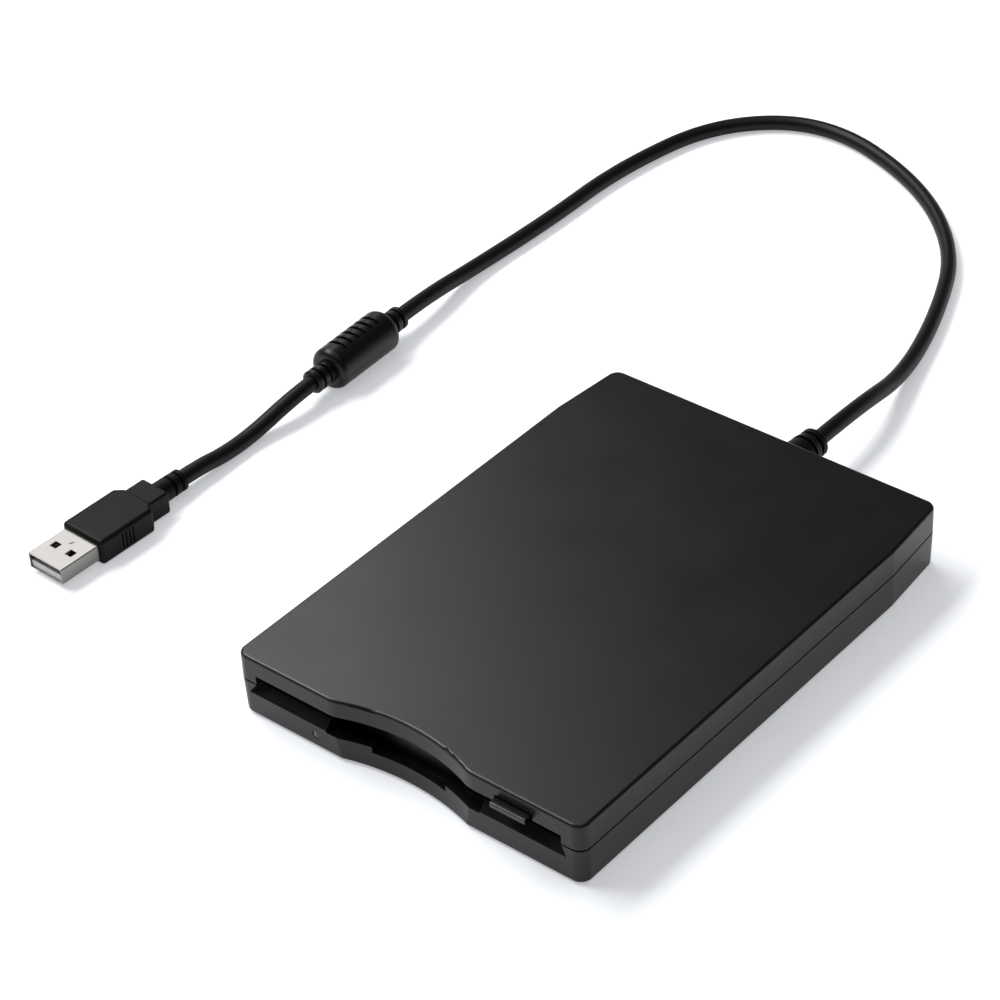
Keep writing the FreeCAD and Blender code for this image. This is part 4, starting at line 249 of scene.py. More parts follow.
@dataclass(frozen=True)
class Finish:
    """A real surface: what it is made of, how it was made, and its shading values."""

    name: str
    colour: str
    roughness: float
    ior: float = 1.5
    metallic: float = 0.0
    specular: float = 0.5
    coat: float = 0.0
    coat_roughness: float = 0.1
    transmission: float = 0.0
    edge_mm: float = 0.0
    smoother: float = 0.0
    rougher: float = 0.0

    def material(self) -> Material:
        """Builds the material once and returns it."""
        made = bpy.data.materials.get(self.name)
        if made is not None:
            return made
        made = bpy.data.materials.new(self.name)
        made.use_nodes = True
        made.diffuse_color = linear(self.colour)
        tree = made.node_tree
        tree.nodes.clear()
        shader = add_node(tree, "ShaderNodeBsdfPrincipled", values={
            "Base Color": linear(self.colour), "Roughness": self.roughness,
            "Metallic": self.metallic, "Specular IOR Level": self.specular,
            "Coat Weight": self.coat, "Coat Roughness": self.coat_roughness,
            "Transmission Weight": self.transmission})
        if self.metallic < 0.5:
            shader.inputs["IOR"].default_value = self.ior
        add_node(tree, "ShaderNodeOutputMaterial", links={"Surface": shader.outputs["BSDF"]})
        self.dress(tree, shader)
        return made

    def dress(self, tree: Tree, shader: Node) -> None:
        """Adds the pattern of this surface; the plain finish only softens its edges."""
        self.lift(tree, shader)

    def place(self, tree: Tree, stretch: Point = (1, 1, 1)) -> Socket:
        """Adds object coordinates; a small factor draws a pattern out along its axis."""
        source = add_node(tree, "ShaderNodeTexCoord")
        mapping = add_node(tree, "ShaderNodeMapping", values={"Scale": stretch},
                           links={"Vector": source.outputs["Object"]})
        return mapping.outputs["Vector"]

    def noise(self, tree: Tree, grain_mm: float, detail: float, rough: float = 0.5,
              stretch: Point = (1, 1, 1)) -> Socket:
        """Adds noise whose grains have a real size.

        Args:
            tree: Tree that gets the nodes.
            grain_mm: Size of a grain.
            detail: Number of finer layers.
            rough: Weight of the finer layers.
            stretch: Factor on each axis.

        Returns:
            The socket with the noise, from 0 to 1.
        """
        values = {"Scale": per_metre(grain_mm), "Detail": detail, "Roughness": rough}
        made = add_node(tree, "ShaderNodeTexNoise", values=values,
                        links={"Vector": self.place(tree, stretch)})
        return made.outputs["Fac"]

    def spread(self, tree: Tree, pattern: Socket, low: float, high: float) -> Socket:
        """Returns a socket that maps a pattern from 0..1 to low..high."""
        ramp = add_node(tree, "ShaderNodeMapRange", values={"To Min": low, "To Max": high},
                        links={"Value": pattern})
        return ramp.outputs["Result"]

    def gloss(self, tree: Tree, shader: Node, pattern: Socket) -> None:
        """Lets a pattern swing the roughness between its smoother and its rougher end."""
        swing = self.spread(tree, pattern, self.roughness - self.smoother, self.roughness + self.rougher)
        tree.links.new(swing, shader.inputs["Roughness"])

    def tone(self, tree: Tree, shader: Node, pattern: Socket, low: float, high: float) -> None:
        """Lets a pattern swing the colour's brightness between two factors."""
        tint = add_node(tree, "ShaderNodeVectorMath", {"operation": "SCALE"},
                        {0: linear(self.colour)[:3]}, {"Scale": self.spread(tree, pattern, low, high)})
        tree.links.new(tint.outputs["Vector"], shader.inputs["Base Color"])

    def two_tones(self, tree: Tree, shader: Node, second: str, share: Socket) -> None:
        """Mixes the colour with a second one by the share that a pattern gives."""
        mixed = add_node(tree, "ShaderNodeMix", {"data_type": "RGBA"},
                         {6: linear(self.colour), 7: linear(second)}, {"Factor": share})
        tree.links.new(mixed.outputs[2], shader.inputs["Base Color"])

    def lift(self, tree: Tree, shader: Node, pattern: Socket | None = None, height_mm: float = 0.0) -> None:
        """Feeds the shader's normal from softened edges and a height pattern.

        Args:
            tree: Tree that gets the nodes.
            shader: Shader whose normal is fed.
            pattern: Height from 0 to 1, or None for smooth surfaces.
            height_mm: Real height of the pattern.
        """
        normal = None
        if self.edge_mm > 0:
            soft = add_node(tree, "ShaderNodeBevel", {"samples": BEVEL_SAMPLES},
                            {"Radius": self.edge_mm * MM})
            normal = soft.outputs["Normal"]
        if pattern is not None:
            bump = add_node(tree, "ShaderNodeBump", values={"Strength": 1.0, "Distance": height_mm * MM},
                            links={"Height": pattern})
            if normal is not None:
                tree.links.new(normal, bump.inputs["Normal"])
            normal = bump.outputs["Normal"]
        if normal is not None:
            tree.links.new(normal, shader.inputs["Normal"])


@dataclass(frozen=True)
class MouldedPlastic(Finish):
    """Injection-moulded plastic: the mould's spark-eroded grain breaks up the gloss in fine grit."""

    smoother: float = 0.05
    rougher: float = 0.05
    grain_mm: float = 0.4
    grain_height_mm: float = 0.006
    cloud_mm: float = 18.0
    tone_swing: float = 0.08

    def dress(self, tree: Tree, shader: Node) -> None:
        """Adds fine grit to height, gloss and tone."""
        grit = self.noise(tree, self.grain_mm, 3.0, 0.6)
        self.gloss(tree, shader, self.noise(tree, self.cloud_mm, 2.0))
        self.tone(tree, shader, grit, 1.0 - self.tone_swing, 1.0 + self.tone_swing)
        self.lift(tree, shader, grit, self.grain_height_mm)


@dataclass(frozen=True)
class ExtrudedJacket(Finish):
    """Extruded soft PVC: satin, with faint ripples from the die and a little dust in the gloss."""

    smoother: float = 0.06
    rougher: float = 0.08
    ripple_mm: float = 1.2
    ripple_height_mm: float = 0.01

    def dress(self, tree: Tree, shader: Node) -> None:
        """Adds faint ripples and an uneven gloss."""
        ripple = self.noise(tree, self.ripple_mm, 4.0)
        self.gloss(tree, shader, ripple)
        self.lift(tree, shader, ripple, self.ripple_height_mm)


@dataclass(frozen=True)
class RolledSheet(Finish):
    """Rolled and plated sheet: fine drawn-out grain along the rolling direction over soft mottling."""

    metallic: float = 1.0
    smoother: float = 0.1
    rougher: float = 0.12
    grain_mm: float = 0.25
    grain_stretch: float = 12.0
    grain_height_mm: float = 0.002
    mottle_mm: float = 6.0
    darkest: float = 0.9
    palest: float = 1.06
    along: Axis = Axis.Y

    def dress(self, tree: Tree, shader: Node) -> None:
        """Adds rolling grain and mottling to the gloss and the tone."""
        grain = self.noise(tree, self.grain_mm, 3.0, stretch=self.along.shares(1.0 / self.grain_stretch, 1.0))
        mottle = self.noise(tree, self.mottle_mm, 5.0, 0.65)
        both = add_node(tree, "ShaderNodeMix", {"data_type": "FLOAT"}, {"Factor": 0.5},
                        {2: grain, 3: mottle})
        self.gloss(tree, shader, both.outputs[0])
        self.tone(tree, shader, mottle, self.darkest, self.palest)
        self.lift(tree, shader, grain, self.grain_height_mm)


@dataclass(frozen=True)
class TurnedMetal(Finish):
    """Turned or drawn metal: fine lines round the axis of the piece."""

    metallic: float = 1.0
    smoother: float = 0.05
    rougher: float = 0.1
    along: Axis = Axis.Z
    line_mm: float = 0.12
    line_share: float = 0.02
    line_height_mm: float = 0.003

    def dress(self, tree: Tree, shader: Node) -> None:
        """Adds tool lines across the axis."""
        lines = self.noise(tree, self.line_mm, 2.0, stretch=self.along.shares(1.0, self.line_share))
        self.gloss(tree, shader, lines)
        self.lift(tree, shader, lines, self.line_height_mm)


@dataclass(frozen=True)
class GranularSolid(Finish):
    """Pressed powder or rubber: a matt body with grains of a slightly other tone."""

    grain_mm: float = 0.5
    second_colour: str = "#404042"
    share: float = 0.35
    grain_height_mm: float = 0.01

    def dress(self, tree: Tree, shader: Node) -> None:
        """Adds grains in two tones with a little height."""
        cells = add_node(tree, "ShaderNodeTexVoronoi", values={"Scale": per_metre(self.grain_mm)},
                         links={"Vector": self.place(tree)})
        grains = cells.outputs["Distance"]
        self.two_tones(tree, shader, self.second_colour, self.spread(tree, grains, 0.0, self.share))
        self.lift(tree, shader, grains, self.grain_height_mm)


@dataclass(frozen=True)
class SolderMask(Finish):
    """Lacquered circuit board: glossy mask, with the copper tracks showing through as paler lines."""

    track_colour: str = "#2F6B45"
    track_mm: float = 0.8
    track_height_mm: float = 0.03
    tracks_per_cell: int = 8

    def dress(self, tree: Tree, shader: Node) -> None:
        """Adds right-angled tracks under the mask."""
        black, white = (0, 0, 0, 1), (1, 1, 1, 1)
        scale = per_metre(self.track_mm) / self.tracks_per_cell
        cells = add_node(tree, "ShaderNodeTexBrick", {"offset": 0.5},
                         {"Scale": scale, "Mortar Size": 0.035, "Mortar Smooth": 0.1, "Color1": black,
                          "Color2": black, "Mortar": white, "Brick Width": 1.7, "Row Height": 0.23},
                         {"Vector": self.place(tree)})
        self.two_tones(tree, shader, self.track_colour, cells.outputs["Color"])
        self.lift(tree, shader, cells.outputs["Color"], self.track_height_mm)


@dataclass(frozen=True)
class StackedPlates(Finish):
    """Laminations stamped from thin sheet: fine level lines on the edges of the stack."""

    rougher: float = 0.2
    plate_mm: float = 0.2
    groove_mm: float = 0.02

    def dress(self, tree: Tree, shader: Node) -> None:
        """Adds one line for each plate of the stack."""
        lines = add_node(tree, "ShaderNodeTexWave",
                         {"wave_type": "BANDS", "bands_direction": "Z", "wave_profile": "SIN"},
                         {"Scale": per_metre(self.plate_mm) / (2 * math.pi)},
                         {"Vector": self.place(tree)})
        self.gloss(tree, shader, lines.outputs["Fac"])
        self.lift(tree, shader, lines.outputs["Fac"], self.groove_mm)


@dataclass(frozen=True)
class ClearMoulding(Finish):
    """Clear moulded acrylic: light goes through, and a faint haze keeps the inside soft."""

    rougher: float = 0.12
    haze_mm: float = 0.6

    def dress(self, tree: Tree, shader: Node) -> None:
        """Adds a faint uneven haze."""
        self.gloss(tree, shader, self.noise(tree, self.haze_mm, 2.0))
        self.lift(tree, shader)


# Each finish is named for its material, and FINISHED_NODES says which nodes it covers.

# Black ABS from a spark-eroded mould: satin black, grey where it mirrors a lamp.
CASE_ABS = MouldedPlastic("textured_black_abs", "#101011", 0.31, ior=1.53, specular=0.33, edge_mm=0.12)
# Black ABS from a finer mould: the button is a little glossier than the case.
BUTTON_ABS = MouldedPlastic("smooth_black_abs", "#0B0B0C", 0.24, ior=1.53, edge_mm=0.2,
                            grain_mm=0.6, grain_height_mm=0.002)
# Black glass-filled PBT of switches and clamps: matt and very fine.
SWITCH_PBT = MouldedPlastic("black_pbt", "#1C1C1D", 0.5, ior=1.57, edge_mm=0.1, grain_height_mm=0.004)
CORD_PVC = ExtrudedJacket("black_pvc_jacket", "#0C0C0D", 0.44, ior=1.53, specular=0.22)
# Soft black PVC, moulded over the choke, the plug and the gland in a lightly blasted mould.
MOULDED_PVC = MouldedPlastic("black_moulded_pvc", "#0B0B0C", 0.48, ior=1.53, specular=0.14, edge_mm=0.15,
                             grain_mm=0.5, grain_height_mm=0.008)
# The same PVC over the choke, from a polished mould: satin, so that its round top shows a soft line.
CHOKE_PVC = MouldedPlastic("black_polished_pvc", "#0B0B0C", 0.36, ior=1.53, specular=0.3, edge_mm=0.12,
                           grain_mm=0.5, grain_height_mm=0.004)
# Nickel-plated deep-drawn steel of the plug's shell: bright, a little cloudy. Its colour is darker than real
# nickel: painted shade that dims the lamp its top mirrors.
NICKEL_SHELL_PAINTED_DIM = RolledSheet("nickel_plated_steel_painted_dim", "#8E8C89", 0.3, edge_mm=0.08,
                           grain_mm=0.3, grain_height_mm=0.001)
# Electro-galvanised cold-rolled steel sheet, stamped and folded.
ZINC_SHEET = RolledSheet("zinc_plated_sheet", "#B4B6B4", 0.4, edge_mm=0.12)
MOTOR_CAN = RolledSheet("drawn_motor_can", "#A9AAA9", 0.33, edge_mm=0.15, along=Axis.X)
TEMPERED_STRIP = RolledSheet("tempered_strip_steel", "#9A9B9C", 0.34, edge_mm=0.08,
                             along=Axis.X)
# Drawn spring wire with an oily grey skin.
SPRING_WIRE = TurnedMetal("drawn_spring_wire", "#8A8B8D", 0.32)
# Ground silver steel of rod, screw and hub.
GROUND_STEEL = TurnedMetal("ground_steel", "#BDBEBF", 0.22, along=Axis.Y, edge_mm=0.06)
HUB_STEEL = TurnedMetal("pressed_hub_steel", "#C2C1BD", 0.25, along=Axis.Z, edge_mm=0.1)
SINTERED_BRONZE = GranularSolid("sintered_bronze", "#A3763C", 0.45, metallic=1.0, edge_mm=0.08,
                                grain_mm=0.25, second_colour="#C79A5C", share=0.8)
# Pressed and fired ferrite: dark grey ceramic, faintly glossy.
FERRITE = GranularSolid("pressed_ferrite", "#2B2B2E", 0.48, ior=1.9, edge_mm=0.15, grain_mm=0.35)
ENAMEL_COPPER = TurnedMetal("enamelled_copper", "#B4652B", 0.24, coat=0.6)
LAMINATIONS = StackedPlates("stacked_laminations", "#7F8286", 0.42, metallic=1.0)
GREEN_BOARD = SolderMask("green_solder_mask", "#12402A", 0.22, ior=1.52, edge_mm=0.05)
CHIP_EPOXY = MouldedPlastic("chip_moulding_compound", "#1E1E20", 0.5, ior=1.55, edge_mm=0.12, grain_mm=0.25)
TINNED_COPPER = TurnedMetal("tinned_copper", "#C4C5C3", 0.3, along=Axis.X)
NATURAL_ACETAL = MouldedPlastic("natural_acetal", "#DAD6C8", 0.35, ior=1.48, edge_mm=0.1,
                                grain_height_mm=0.002)
TONGUE_NYLON = MouldedPlastic("white_nylon", "#E4E4E2", 0.4, ior=1.53, edge_mm=0.08, grain_height_mm=0.002)
CARRIAGE_PPS = MouldedPlastic("glass_filled_pps", "#26262A", 0.45, ior=1.65, edge_mm=0.12, grain_mm=0.3,
                              tone_swing=0.2)
AMBER_FILM = ExtrudedJacket("polyimide_film", "#B4742A", 0.2, ior=1.7, ripple_height_mm=0.002)
RIBBON_PVC = ExtrudedJacket("grey_ribbon_pvc", "#8D9094", 0.4, ripple_height_mm=0.003)
BLACK_OXIDE = TurnedMetal("black_oxide_steel", "#2A2A2C", 0.4, metallic=0.9, edge_mm=0.08)
FOOT_RUBBER = GranularSolid("black_foot_rubber", "#161616", 0.68, ior=1.52, edge_mm=0.2,
                            second_colour="#1F1F1F", grain_mm=0.4)
# Clear acrylic light pipe, and the water-clear body of the light itself.
CLEAR_ACRYLIC = ClearMoulding("clear_acrylic", "#D9DCD8", 0.12, ior=1.49, transmission=0.9)
LIGHT_EPOXY = ClearMoulding("light_body_epoxy", "#C9D8BE", 0.2, ior=1.53, transmission=0.35)
# Gold flash over nickel on the plug's contacts.
CONTACT_GOLD = RolledSheet("gold_flash", "#D9B45F", 0.22, edge_mm=0.04)

FINISHED_NODES: dict[Finish, tuple[str, ...]] = {
    CASE_ABS: ("top_cover", "bottom_cover"),
    BUTTON_ABS: ("eject_button",),
    SWITCH_PBT: ("rod_clamps", "track_sensor", "sensor_switches"),
    CORD_PVC: ("cord_leads", "usb_cord_case", "usb_cord_plug"),
    MOULDED_PVC: ("cable_gland", "plug_overmold"),
    CHOKE_PVC: ("choke_cover",),
    NICKEL_SHELL_PAINTED_DIM: ("plug_shell",),
    ZINC_SHEET: ("mechanism_chassis", "mechanism_lid", "disk_carrier", "eject_slider"),
    MOTOR_CAN: ("spindle_rotor", "stepper_motor"),
    TEMPERED_STRIP: ("shutter_lever",),
    SPRING_WIRE: ("slider_springs", "lever_spring"),
    GROUND_STEEL: ("guide_rod", "lead_screw"),
    HUB_STEEL: ("spindle_hub",),
    SINTERED_BRONZE: ("spindle_bearing",),
    FERRITE: ("rotor_magnet", "ferrite_core", "lower_head", "upper_head"),
    ENAMEL_COPPER: ("stator_coils",),
    LAMINATIONS: ("stator_core",),
    GREEN_BOARD: ("motor_board", "switch_boards", "control_board", "usb_board"),
    CHIP_EPOXY: ("control_chips", "usb_chips"),
    NATURAL_ACETAL: ("screw_bearing", "cord_connector", "plunger_insert", "plunger_protect",
                     "plunger_density"),
    TONGUE_NYLON: ("plug_insulator",),
    CARRIAGE_PPS: ("head_carriage", "upper_head_arm"),
    AMBER_FILM: ("head_flex",),
    RIBBON_PVC: ("ribbon_cable",),
    BLACK_OXIDE: ("chassis_screws", "case_screws"),
    FOOT_RUBBER: ("rubber_feet",),
    CLEAR_ACRYLIC: ("led_lens",),
    LIGHT_EPOXY: ("status_light",),
    CONTACT_GOLD: ("plug_contacts",),
}


def dress_nodes(frame: dict) -> None:
    """Gives every node of the frame its finish.
    """
    finishes = {name: finish for finish, names in FINISHED_NODES.items() for name in names}
    for name, node in frame["nodes"].items():
        finish = finishes[name]
        for place in node.material_slots:
            place.material = finish.material()
        log.info("%s is finished in %s", name, finish.name)


# ------------------------------------------------------------------ camera and studio

@dataclass
class Studio:
    """Camera, pale sweep and plain soft lights."""

    place_mm: Point = (381.463, -463.798, 496.069)
    azimuth_deg: float = 41.448
    elevation_deg: float = 37.04
    roll_deg: float = -3.439
    lens_mm: float = 116.646
    sensor_mm: float = 36.0
    clip_start: float = 0.01
    floor_colour: str = "#F6F8FB"
    floor_glow: float = 0.46
    glow_in_reflections: float = 0.8
    floor_radius: float = 2.4
    rim_height: float = 0.5
    rim_steps: int = 10
    segments: int = 64
    world_level: float = 0.05

    def camera(self) -> None:
        """Makes the camera from its place, its direction and its roll."""
        turn, rise = math.radians(self.azimuth_deg), math.radians(self.elevation_deg)
        back = Vector((math.sin(turn) * math.cos(rise), -math.cos(turn) * math.cos(rise), math.sin(rise)))
        right = Vector((0, 0, 1)).cross(back).normalized()
        up = back.cross(right)
        roll = math.radians(self.roll_deg)
        side = right * math.cos(roll) + up * math.sin(roll)
        top = up * math.cos(roll) - right * math.sin(roll)
        view = bpy.data.cameras.new("view")
        view.sensor_width = self.sensor_mm
        view.lens = self.lens_mm
        view.clip_start = self.clip_start
        stand = put("view", view)
        frame = Matrix((side, top, back)).transposed().to_4x4()
        frame.translation = Vector(self.place_mm) * MM
        stand.matrix_world = frame
        bpy.context.scene.camera = stand

    def sweep(self) -> None:
        """Makes the round floor, whose rim turns up into a low wall."""
        grid = bmesh.new()
        steps, segments, bend = self.rim_steps, self.segments, self.rim_height
        profile = [(self.floor_radius * share, 0.0) for share in (0.0, 0.5, 1.0)]
        for step in range(1, steps + 1):
            turn = math.radians(90) * step / steps
            profile.append((self.floor_radius + bend * math.sin(turn), bend * (1 - math.cos(turn))))
        rings = []
        for reach, height in profile[1:]:
            rings.append([grid.verts.new((reach * math.cos(2 * math.pi * k / segments),
                                          reach * math.sin(2 * math.pi * k / segments), height))
                          for k in range(segments)])
        centre = grid.verts.new((0, 0, 0))
        for k in range(segments):
            grid.faces.new((centre, rings[0][k], rings[0][(k + 1) % segments]))
        for inner, outer in zip(rings, rings[1:]):
            for k in range(segments):
                after = (k + 1) % segments
                grid.faces.new((inner[k], outer[k], outer[after], inner[after]))
        mesh = bpy.data.meshes.new("studio_floor")
        grid.to_mesh(mesh)
        grid.free()
        for face in mesh.polygons:
            face.use_smooth = True
        mesh.materials.append(self.paper())
        floor = put("studio_floor", mesh)

    def paper(self) -> Material:
        """Makes the floor's pale surface: it takes shadows, and a glow of its own keeps it white."""
        paper = bpy.data.materials.new("pale_paper")
        paper.use_nodes = True
        tree = paper.node_tree
        tree.nodes.clear()
        cloth = add_node(tree, "ShaderNodeBsdfDiffuse", values={"Color": linear(self.floor_colour)})
        path = add_node(tree, "ShaderNodeLightPath")
        seen = add_node(tree, "ShaderNodeMath", {"operation": "MULTIPLY_ADD"},
                        {1: self.glow_in_reflections},
                        {0: path.outputs["Is Glossy Ray"], 2: path.outputs["Is Camera Ray"]})
        seen = add_node(tree, "ShaderNodeMath", {"operation": "ADD", "use_clamp": True},
                        links={0: seen.outputs[0], 1: path.outputs["Is Transmission Ray"]})
        share = add_node(tree, "ShaderNodeMath", {"operation": "MULTIPLY"}, {1: self.floor_glow},
                         {0: seen.outputs[0]})
        glow = add_node(tree, "ShaderNodeEmission", values={"Color": linear(self.floor_colour)},
                        links={"Strength": share.outputs[0]})
        both = add_node(tree, "ShaderNodeAddShader", links={0: cloth.outputs[0], 1: glow.outputs[0]})
        add_node(tree, "ShaderNodeOutputMaterial", links={"Surface": both.outputs[0]})
        return paper

    def world(self) -> None:
        """Fills the dark of the room with an even low light."""
        room = bpy.data.worlds.new("studio")
        room.use_nodes = True
        sky = room.node_tree.nodes["Background"]
        sky.inputs["Color"].default_value = (1, 1, 1, 1)
        sky.inputs["Strength"].default_value = self.world_level
        bpy.context.scene.world = room

    def build(self, lamps: list["Softbox"]) -> None:
        """Builds camera, sweep, world and lamps, and sets plain colour handling."""
        scene = bpy.context.scene
        scene.view_settings.view_transform = "Standard"
        self.camera()
        self.sweep()
        self.world()
        for lamp in lamps:
            lamp.build()


@dataclass
class Softbox:
    """A square soft lamp that faces the object."""

    name: str
    azimuth_deg: float
    elevation_deg: float
    distance: float
    width: float
    height: float
    radiance: float

    def build(self) -> None:
        """Makes the lamp; its power follows from how bright its face looks."""
        turn, rise = math.radians(self.azimuth_deg), math.radians(self.elevation_deg)
        away = Vector((math.cos(turn) * math.cos(rise), math.sin(turn) * math.cos(rise), math.sin(rise)))
        lamp = bpy.data.lights.new(self.name, "AREA")
        lamp.shape = "RECTANGLE"
        lamp.size = self.width
        lamp.size_y = self.height
        lamp.energy = self.radiance * math.pi * self.width * self.height
        stand = put(self.name, lamp)
        stand.rotation_euler = away.to_track_quat("Z", "Y").to_euler()
        stand.location = away * self.distance


LAMPS = [
    Softbox("overhead", 0.0, 89.0, 1.7, 1.5, 1.5, 0.7),
    Softbox("left_bank", 190.0, 52.0, 2.2, 1.54, 0.64, 11.0),
    Softbox("left_fill", 147.0, 44.0, 1.5, 0.46, 0.78, 3.9),
]


# ------------------------------------------------------------------ cord

@dataclass
class Cord:
    """The two free runs of the cord, from the case to the choke and on to the plug."""

    diameter_mm: float = 4.4
    round_steps: int = 6
    steps_between: int = 16
    order: int = 3
    choke_length_mm: float = 356.6
    plug_length_mm: float = 49.2
    to_choke: list[Point] = field(default_factory=lambda: [
        (4.8, 84.65, 10.3), (4.8, 103.15, 10.3), (1.0, 130.15, 3.0), (-8.0, 160.15, 2.25),
        (-22.0, 190.15, 2.25), (-50.0, 214.15, 2.25), (-90.0, 227.15, 2.25), (-117.0, 208.15, 2.25),
        (-125.0, 171.15, 2.25), (-124.4, 137.15, 2.25), (-126.0, 105.15, 2.25), (-123.59, 83.025, 6.0),
        (-123.108, 71.035, 6.0)])
    to_plug: list[Point] = field(default_factory=lambda: [
        (-121.592, 33.265, 6.0), (-121.267, 25.17, 6.0), (-122.3, 11.0, 2.4), (-122.1, -0.5, 2.5),
        (-122.464, -8.994, 3.65), (-122.691, -15.49, 3.65)])

    def run(self, name: str, points: list[Point], node: str) -> Object:
        """Makes one run of the cord as a round smooth line.

        Args:
            name: Name of the piece.
            points: Control points in millimetres.
            node: Node of the frame that the run replaces.

        Returns:
            The new curve object.
        """
        line = bpy.data.curves.new(name, "CURVE")
        line.dimensions = "3D"
        line.bevel_depth = self.diameter_mm * MM / 2
        line.bevel_resolution = self.round_steps
        line.resolution_u = self.steps_between
        line.use_fill_caps = True
        spline = line.splines.new("NURBS")
        spline.points.add(len(points) - 1)
        for control, point in zip(spline.points, points):
            control.co = (*(Vector(point) * MM), 1.0)
        spline.order_u = self.order
        spline.use_endpoint_u = True
        line.materials.append(CORD_PVC.material())
        piece = put(name, line)
        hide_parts(node)
        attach(piece, Body.CASE.value)
        log.info("%s follows %d control points", name, len(points))
        return piece

    def build(self, frame: dict) -> None:
        """Builds both runs.
        """
        first = self.run("cord_to_choke", self.to_choke, "usb_cord_case")
        second = self.run("cord_to_plug", self.to_plug, "usb_cord_plug")


# ------------------------------------------------------------------ repeated pieces

class Grower:
    """A geometry tree with named sizes, which it turns into plain meshes."""

    def __init__(self, name: str, numbers: tuple[str, ...], counts: tuple[str, ...] = ()) -> None:
        """Starts the tree.

        Args:
            name: Name of the tree.
            numbers: Inputs that hold a length or another plain number.
            counts: Inputs that hold a whole number.
        """
        self.tree = bpy.data.node_groups.new(name, "GeometryNodeTree")
        face = self.tree.interface
        face.new_socket("Geometry", in_out="OUTPUT", socket_type="NodeSocketGeometry")
        for kind, labels in (("Int", counts), ("Float", numbers), ("Material", ("Finish",))):
            for label in labels:
                face.new_socket(label, in_out="INPUT", socket_type=f"NodeSocket{kind}")
        self.sizes = self.tree.nodes.new("NodeGroupInput").outputs

    def node(self, kind: str, settings: dict | None = None, values: dict | None = None,
             links: dict | None = None) -> Outputs:
        """Adds a geometry node and returns its outputs."""
        return add_node(self.tree, f"GeometryNode{kind}", settings, values, links).outputs

    def feed(self, node: Node, *parts: Socket | float) -> Socket:
        """Feeds a node's inputs in order with numbers or sockets and returns its first output."""
        for place, part in enumerate(parts):
            if isinstance(part, Socket):
                self.tree.links.new(part, node.inputs[place])
            else:
                node.inputs[place].default_value = part
        return node.outputs[0]

    def work(self, operation: str, first: Socket | float, second: Socket | float) -> Socket:
        """Adds one sum of two numbers or sockets, under Blender's name of the operation."""
        return self.feed(add_node(self.tree, "ShaderNodeMath", {"operation": operation}), first, second)

    def point(self, x: Socket | float = 0.0, y: Socket | float = 0.0, z: Socket | float = 0.0) -> Socket:
        """Joins three numbers or sockets to a vector socket."""
        return self.feed(add_node(self.tree, "ShaderNodeCombineXYZ"), x, y, z)

    def span(self, count: Socket, pitch: Socket) -> Socket:
        """Adds the distance from the first to the last point of a row."""
        return self.work("MULTIPLY", self.work("SUBTRACT", count, 1.0), pitch)

    def row(self, count: Socket, pitch: Socket | float, start: Socket | float) -> Socket:
        """Adds points in a row along x.

        Args:
            count: Number of points.
            pitch: Distance between neighbours.
            start: Place of the first point.

        Returns:
            The socket with the points.
        """
        line = self.node("MeshLine", {"mode": "OFFSET"},
                         links={"Count": count, "Offset": self.point(x=pitch),
                                "Start Location": self.point(x=start)})
        return line["Mesh"]

    def repeat(self, points: Socket, part: Socket, **more: Socket) -> Socket:
        """Puts a part on each point and returns the socket with its instances."""
        return self.node("InstanceOnPoints", links={"Points": points, "Instance": part, **more})["Instances"]

    def tube(self, path: Socket, radius: Socket, sides: int
             ) -> Socket:
        """Sweeps a round wire along a path and closes its ends."""
        ring = self.node("CurvePrimitiveCircle", values={"Resolution": sides}, links={"Radius": radius})
        swept = self.node("CurveToMesh", values={"Fill Caps": True},
                          links={"Curve": path, "Profile Curve": ring["Curve"]})
        return swept["Mesh"]

    def join(self, *parts: Socket) -> Socket:
        """Joins some geometry."""
        joined = self.tree.nodes.new("GeometryNodeJoinGeometry")
        for part in parts:
            self.tree.links.new(part, joined.inputs[0])
        return joined.outputs[0]

    def close(self, shape: Socket) -> None:
        """Ends the tree: instances become real and take the finish."""
        real = self.node("RealizeInstances", links={"Geometry": shape})
        dressed = self.node("SetMaterial", links={"Geometry": real["Geometry"],
                                                  "Material": self.sizes["Finish"]})
        add_node(self.tree, "NodeGroupOutput", links={0: dressed["Geometry"]})

    def grow(self, finish: Finish, values: dict[str, float | int], place: Matrix,
             smooth: bool = True) -> Mesh:
        """Runs the tree once and returns its result as a plain mesh in its place.

        Args:
            finish: Surface that the result gets.
            values: Named sizes, in metres where they are lengths.
            place: Turn and move of the result.
            smooth: Whether the faces are shaded as one round surface.

        Returns:
            The mesh, with its faces outwards.
        """
        seed = bpy.data.meshes.new("seed")
        host = put("host", seed)
        modifier = host.modifiers.new("grow", "NODES")
        modifier.node_group = self.tree
        given = {**values, "Finish": finish.material()}
        for socket in self.tree.interface.items_tree:
            if socket.in_out == "INPUT":
                modifier[socket.identifier] = given[socket.name]
        graph = bpy.context.evaluated_depsgraph_get()
        mesh = bpy.data.meshes.new_from_object(host.evaluated_get(graph), depsgraph=graph)
        host.modifiers.remove(modifier)
        bpy.data.objects.remove(host)
        bpy.data.meshes.remove(seed)
        mesh.transform(place)
        solid = bmesh.new()
        solid.from_mesh(mesh)
        bmesh.ops.remove_doubles(solid, verts=solid.verts, dist=SAME_POINT)
        bmesh.ops.recalc_face_normals(solid, faces=solid.faces)
        for face in solid.faces:
            face.smooth = smooth
        solid.to_mesh(mesh)
        solid.free()
        return mesh


def merged(meshes: list[Mesh]) -> Mesh:
    """Joins several meshes into one.

    Args:
        meshes: Meshes with their places in their points; they are used up.

    Returns:
        The joined mesh.
    """
    whole = bmesh.new()
    for mesh in meshes:
        whole.from_mesh(mesh)
        bpy.data.meshes.remove(mesh)
    joined = bpy.data.meshes.new("merged")
    whole.to_mesh(joined)
    whole.free()
    return joined


